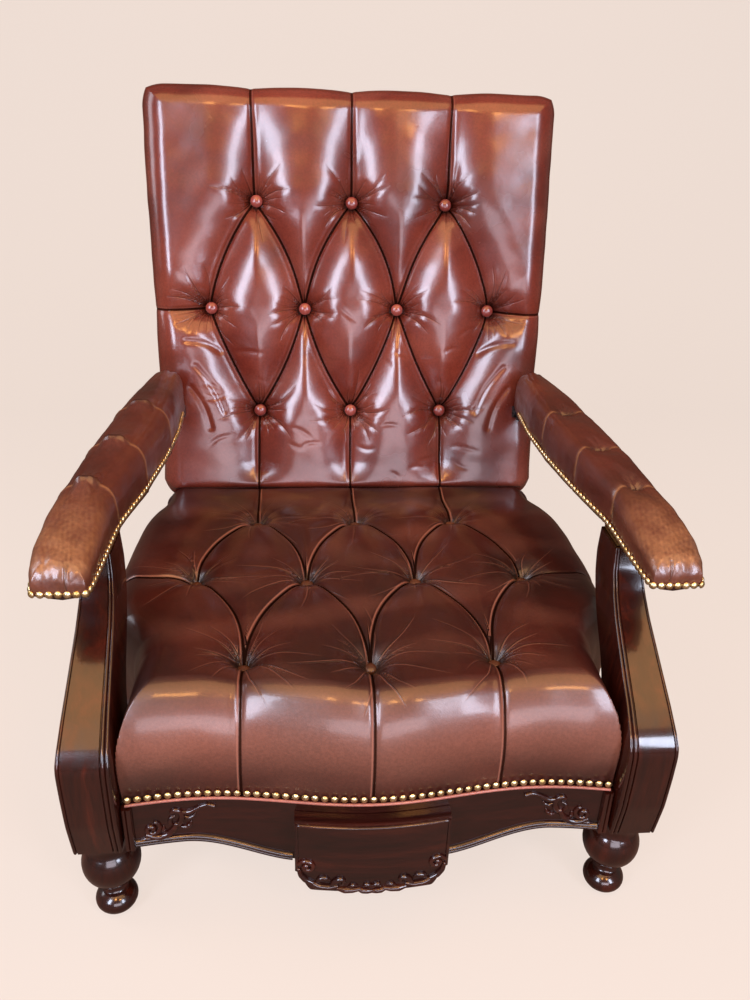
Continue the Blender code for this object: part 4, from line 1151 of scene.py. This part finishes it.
SCROLL_RADII = (0.0026, 0.0032, 0.0030, 0.0040)
APRON_STROKES = (
    (volute((0.2905, 0.2100), 0.0125, 1.25, 1.9), SCROLL_RADII),
    (((0.2990, 0.2010), (0.2900, 0.1950), (0.2790, 0.1935), (0.2690, 0.1975), (0.2620, 0.2060),
      (0.2580, 0.2160)), (0.0026, 0.0040, 0.0048, 0.0046, 0.0040, 0.0034)),
    (((0.2560, 0.2110), (0.2520, 0.2200), (0.2500, 0.2290), (0.2530, 0.2370), (0.2600, 0.2400),
      (0.2640, 0.2350)), (0.0030, 0.0046, 0.0042, 0.0036, 0.0034, 0.0030)),
    (((0.2510, 0.2340), (0.2420, 0.2330), (0.2340, 0.2370), (0.2250, 0.2430), (0.2150, 0.2460),
      (0.2070, 0.2420)), (0.0024, 0.0036, 0.0034, 0.0028, 0.0028, 0.0036)),
    (((0.2480, 0.2270), (0.2410, 0.2230), (0.2360, 0.2260), (0.2330, 0.2310)),
     (0.0012, 0.0034, 0.0030, 0.0010)),
    (((0.2540, 0.2080), (0.2460, 0.2070), (0.2410, 0.2110), (0.2390, 0.2170)),
     (0.0012, 0.0036, 0.0032, 0.0010)),
    (((0.2630, 0.2120), (0.2670, 0.2190), (0.2650, 0.2260), (0.2590, 0.2290)),
     (0.0012, 0.0032, 0.0028, 0.0010)),
    (((0.2720, 0.1990), (0.2760, 0.2060), (0.2750, 0.2130)), (0.0012, 0.0032, 0.0010)),
    (((0.2880, 0.1930), (0.3000, 0.1935), (0.3080, 0.1915)), (0.0024, 0.0030, 0.0012)),
)
TABLET_STROKES = (
    (volute((0.0870, 0.1640), 0.0120, 1.3, 0.2), SCROLL_RADII),
    (((0.0985, 0.1600), (0.0960, 0.1480), (0.0890, 0.1390), (0.0790, 0.1335)),
     (0.0024, 0.0036, 0.0042, 0.0036)),
    (((0.0860, 0.1370), (0.0720, 0.1290), (0.0580, 0.1275), (0.0450, 0.1310)),
     (0.0028, 0.0050, 0.0046, 0.0022)),
    (((0.0560, 0.1300), (0.0490, 0.1400), (0.0420, 0.1450), (0.0370, 0.1400), (0.0400, 0.1350)),
     (0.0026, 0.0044, 0.0042, 0.0032, 0.0022)),
    (((0.0480, 0.1255), (0.0370, 0.1235), (0.0250, 0.1240), (0.0150, 0.1255)),
     (0.0024, 0.0048, 0.0044, 0.0026)),
    (((0.0190, 0.1250), (0.0120, 0.1225), (0.0050, 0.1215), (0.0, 0.1215)),
     (0.0026, 0.0044, 0.0042, 0.0032)),
    (((0.0760, 0.1340), (0.0700, 0.1430), (0.0620, 0.1450), (0.0560, 0.1400)),
     (0.0012, 0.0038, 0.0034, 0.0012)),
    (((0.0330, 0.1280), (0.0260, 0.1330), (0.0190, 0.1310)), (0.0012, 0.0034, 0.0012)),
    (((0.0120, 0.1290), (0.0080, 0.1345), (0.0040, 0.1330), (0.0, 0.1290)),
     (0.0012, 0.0034, 0.0032, 0.0028)),
)


def apron_leaf(side, name):
    """Carved scroll and leaf at each end of the apron."""
    leaf = joined("apron_leaf_" + name, carved(side, lambda x: seat_face(x) - 0.0006, APRON_STROKES))
    give(leaf, "frame", "apron_carving_" + name, slot="mahogany")


def tablet():
    """Footrest front: a bowed tablet with a thin bead frame and carved scrolls along its lower edge."""
    face = lambda x: seat_face(x) - TABLET_PROUD
    xs = [float(x) for x in np.linspace(-TABLET_HALF, TABLET_HALF, 83)]
    board = bowed("tablet_board", xs, face, lambda x: seat_face(x) - 0.0009, tablet_low,
                  lambda x: TABLET_HIGH, WOOD_ACROSS)
    inset = 0.0030
    reach, foot = TABLET_HALF - inset, TABLET_LOW + 0.004
    line = [(-reach, foot), (-reach, TABLET_HIGH - inset)]
    line += [(float(x), TABLET_HIGH - inset) for x in np.linspace(-reach, reach, 50)]
    line += [(reach, foot)]
    line = [(x, float(face(x)) - 0.0002, z) for x, z in line]
    frame_bead = welt_cord("tablet_bead", line, 0.0022, WOOD_ACROSS)
    give(joined("tablet_wood", [board, frame_bead]), "footrest", "footrest_front", slot="mahogany")
    parts = [part for side, _ in SIDES for part in carved(side, lambda x: face(x) - 0.0006, TABLET_STROKES)]
    give(joined("tablet_carving", parts), "footrest", "footrest_carving", slot="mahogany")


def stiles():
    """Beaded strips between the apron and the posts."""
    for side, name in SIDES:
        front = float(seat_face(0.32)) - 0.006
        shape = [(0.3124, 0.0022), (0.3134, 0.0), (0.3160, -0.0008), (0.3186, 0.0), (0.3196, 0.0020),
                 (0.3206, 0.0), (0.3226, -0.0006), (0.3244, 0.0), (0.3249, 0.0020), (0.3249, 0.028),
                 (0.3124, 0.028)]
        rings = [[(side * x, front + dy, z) for x, dy in shape] for z in np.linspace(0.1802, 0.2538, 12)]
        strip = loft("front_stile_wood_" + name, rings, WOOD_UP, 40)
        give(strip, "frame", "front_stile_" + name, slot="mahogany")


# ---------------------------------------------------------------- pieces carried over

def finish_frame_parts():
    """Give every carried-over piece its finish, with eased edges on the show wood."""
    finishes = (
        (WOOD_UP, "rear_leg"), (WOOD_ACROSS, "rear_rail footrest_board"), (WOOD_DEEP, "side_rail arm_core"),
        (STEEL_BLACK, "back_hinge_bracket back_hinge_plate arm_bracket arm_knuckle"),
        (PLATE_BRASS, "post_slide_plate arm_slide_plate"),
        (BEECH, "seat_frame back_stile back_top_rail back_bottom_rail footrest_runner footrest_guide"),
        (JUTE, "seat_webbing back_webbing"), (STEEL_WIRE, "seat_springs back_springs"))
    table = {node: finish for finish, nodes in finishes for node in nodes.split()}
    for node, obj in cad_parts.items():
        base = node.replace("_left", "").replace("_right", "")
        if base in table:
            obj.data.materials.clear()
            obj.data.materials.append(table[base])
            wood = table[base] in (WOOD_UP, WOOD_DEEP, WOOD_ACROSS)
            if wood or table[base] in (STEEL_BLACK, PLATE_BRASS):
                width = 0.0022 if wood else 0.0005
                add_modifier(obj, "BEVEL", width=width, segments=3, limit_method="ANGLE",
                             angle_limit=math.radians(40), harden_normals=True)


# ---------------------------------------------------------------- room, light, camera

def room():
    """Plain paper sweep that looks evenly lit to the camera, in a darker room that the chair reflects."""
    finish, tree, shader = new_finish("pale_paper")
    shader.inputs["Base Color"].default_value = srgb("#66564b")
    shader.inputs["Roughness"].default_value = 0.9
    seen = add_node(tree, "ShaderNodeLightPath").outputs["Is Camera Ray"]
    shown = add_node(tree, "ShaderNodeEmission", Color=srgb("#f4e4da"), Strength=0.85)
    lit = add_node(tree, "ShaderNodeBsdfDiffuse", Color=srgb("#55524f"))
    both = add_node(tree, "ShaderNodeAddShader", {0: shown.outputs[0], 1: lit.outputs[0]})
    mixed = add_node(tree, "ShaderNodeMixShader", {0: seen, 1: shader.outputs[0], 2: both.outputs[0]})
    tree.links.new(mixed.outputs[0], tree.nodes["Material Output"].inputs[0])
    curve = [(1.6 + 1.2 * math.sin(a), 1.2 - 1.2 * math.cos(a)) for a in np.linspace(0.1, math.pi / 2, 14)]
    line = [(-3.0, 0.0), (1.6, 0.0)] + curve + [(2.8, 4.0)]
    verts = [(x, y, z) for y, z in line for x in (-4.0, 4.0)]
    faces = [(2 * i, 2 * i + 1, 2 * i + 3, 2 * i + 2) for i in range(len(line) - 1)]
    mesh_from("paper_sweep", verts, faces, finish)
    world = bpy.data.worlds.new("soft_room")
    bpy.context.scene.world = world
    world.use_nodes = True
    background = world.node_tree.nodes["Background"]
    background.inputs[0].default_value = srgb("#e9d9cc")
    background.inputs[1].default_value = 0.30


def lamp(name, position, target, size, power, colour):
    """Rectangular light facing its target."""
    data = bpy.data.lights.new(name, "AREA")
    data.shape = "RECTANGLE"
    data.size, data.size_y = size
    data.energy = power
    data.color = srgb(colour)[:3]
    obj = bpy.data.objects.new(name, data)
    bpy.context.scene.collection.objects.link(obj)
    obj.location = position
    obj.rotation_euler = (Vector(target) - Vector(position)).to_track_quat("-Z", "Y").to_euler()


def lights():
    """Cool windows in front and to the side, a warm ceiling and two warm lamps."""
    lamp("window_left", (-1.7, -2.3, 1.9), (0, 0, 0.6), (0.7, 1.5), 80, "#dfe8ff")
    lamp("window_right", (1.5, -2.4, 1.7), (0, 0, 0.7), (0.6, 1.4), 62, "#dfe8ff")
    lamp("window_front", (0.2, -2.9, 0.95), (0, 0, 0.4), (1.7, 0.9), 34, "#efe6f4")
    lamp("side_window", (-2.3, 0.1, 1.8), (0, 0, 0.5), (0.8, 1.6), 22, "#eef2ff")
    lamp("warm_ceiling", (0.1, -1.0, 3.0), (0, -0.2, 0.4), (3.6, 1.9), 76, "#ffbe7c")
    lamp("warm_lamp_left", (-0.35, -2.1, 2.6), (0, 0.2, 0.8), (0.35, 0.35), 16, "#ffb060")
    lamp("warm_lamp_right", (0.75, -2.2, 2.5), (0, 0.2, 0.8), (0.35, 0.35), 16, "#ffb060")


def camera():
    """View from above the front left of the chair, looking down and tipped a little."""
    place, focal_length, sensor_width = (-0.083, -1.264, 1.113), 30.5, 36.0
    yaw, pitch, roll = math.radians(5.10), math.radians(27.1), math.radians(1.97)
    forward = Vector((math.sin(yaw) * math.cos(pitch), math.cos(yaw) * math.cos(pitch), -math.sin(pitch)))
    right = Vector((math.cos(yaw), -math.sin(yaw), 0))
    up = right.cross(forward)
    turned_right = right * math.cos(roll) + up * math.sin(roll)
    turned_up = up * math.cos(roll) - right * math.sin(roll)
    data = bpy.data.cameras.new("view")
    data.sensor_width = sensor_width
    data.lens = focal_length
    obj = bpy.data.objects.new("view", data)
    bpy.context.scene.collection.objects.link(obj)
    axes = Matrix((turned_right, turned_up, -forward)).transposed()
    obj.matrix_world = Matrix.Translation(place) @ axes.to_4x4()
    bpy.context.scene.camera = obj


# ---------------------------------------------------------------- the whole chair

back_pad()
seat_pad()
footrest_pad()
for side, name in SIDES:
    arm_pad(side, name)
    arm_trim(side, name)
    front_post(side, name)
    turned_foot(side, name)
    apron_leaf(side, name)
seat_trim()
all_buttons()
bpy.data.objects.remove(NAIL_HEAD)
back_cover()
apron_board()
stiles()
tablet()
finish_frame_parts()
room()
lights()
camera()
bpy.context.scene.view_settings.view_transform = "Standard"
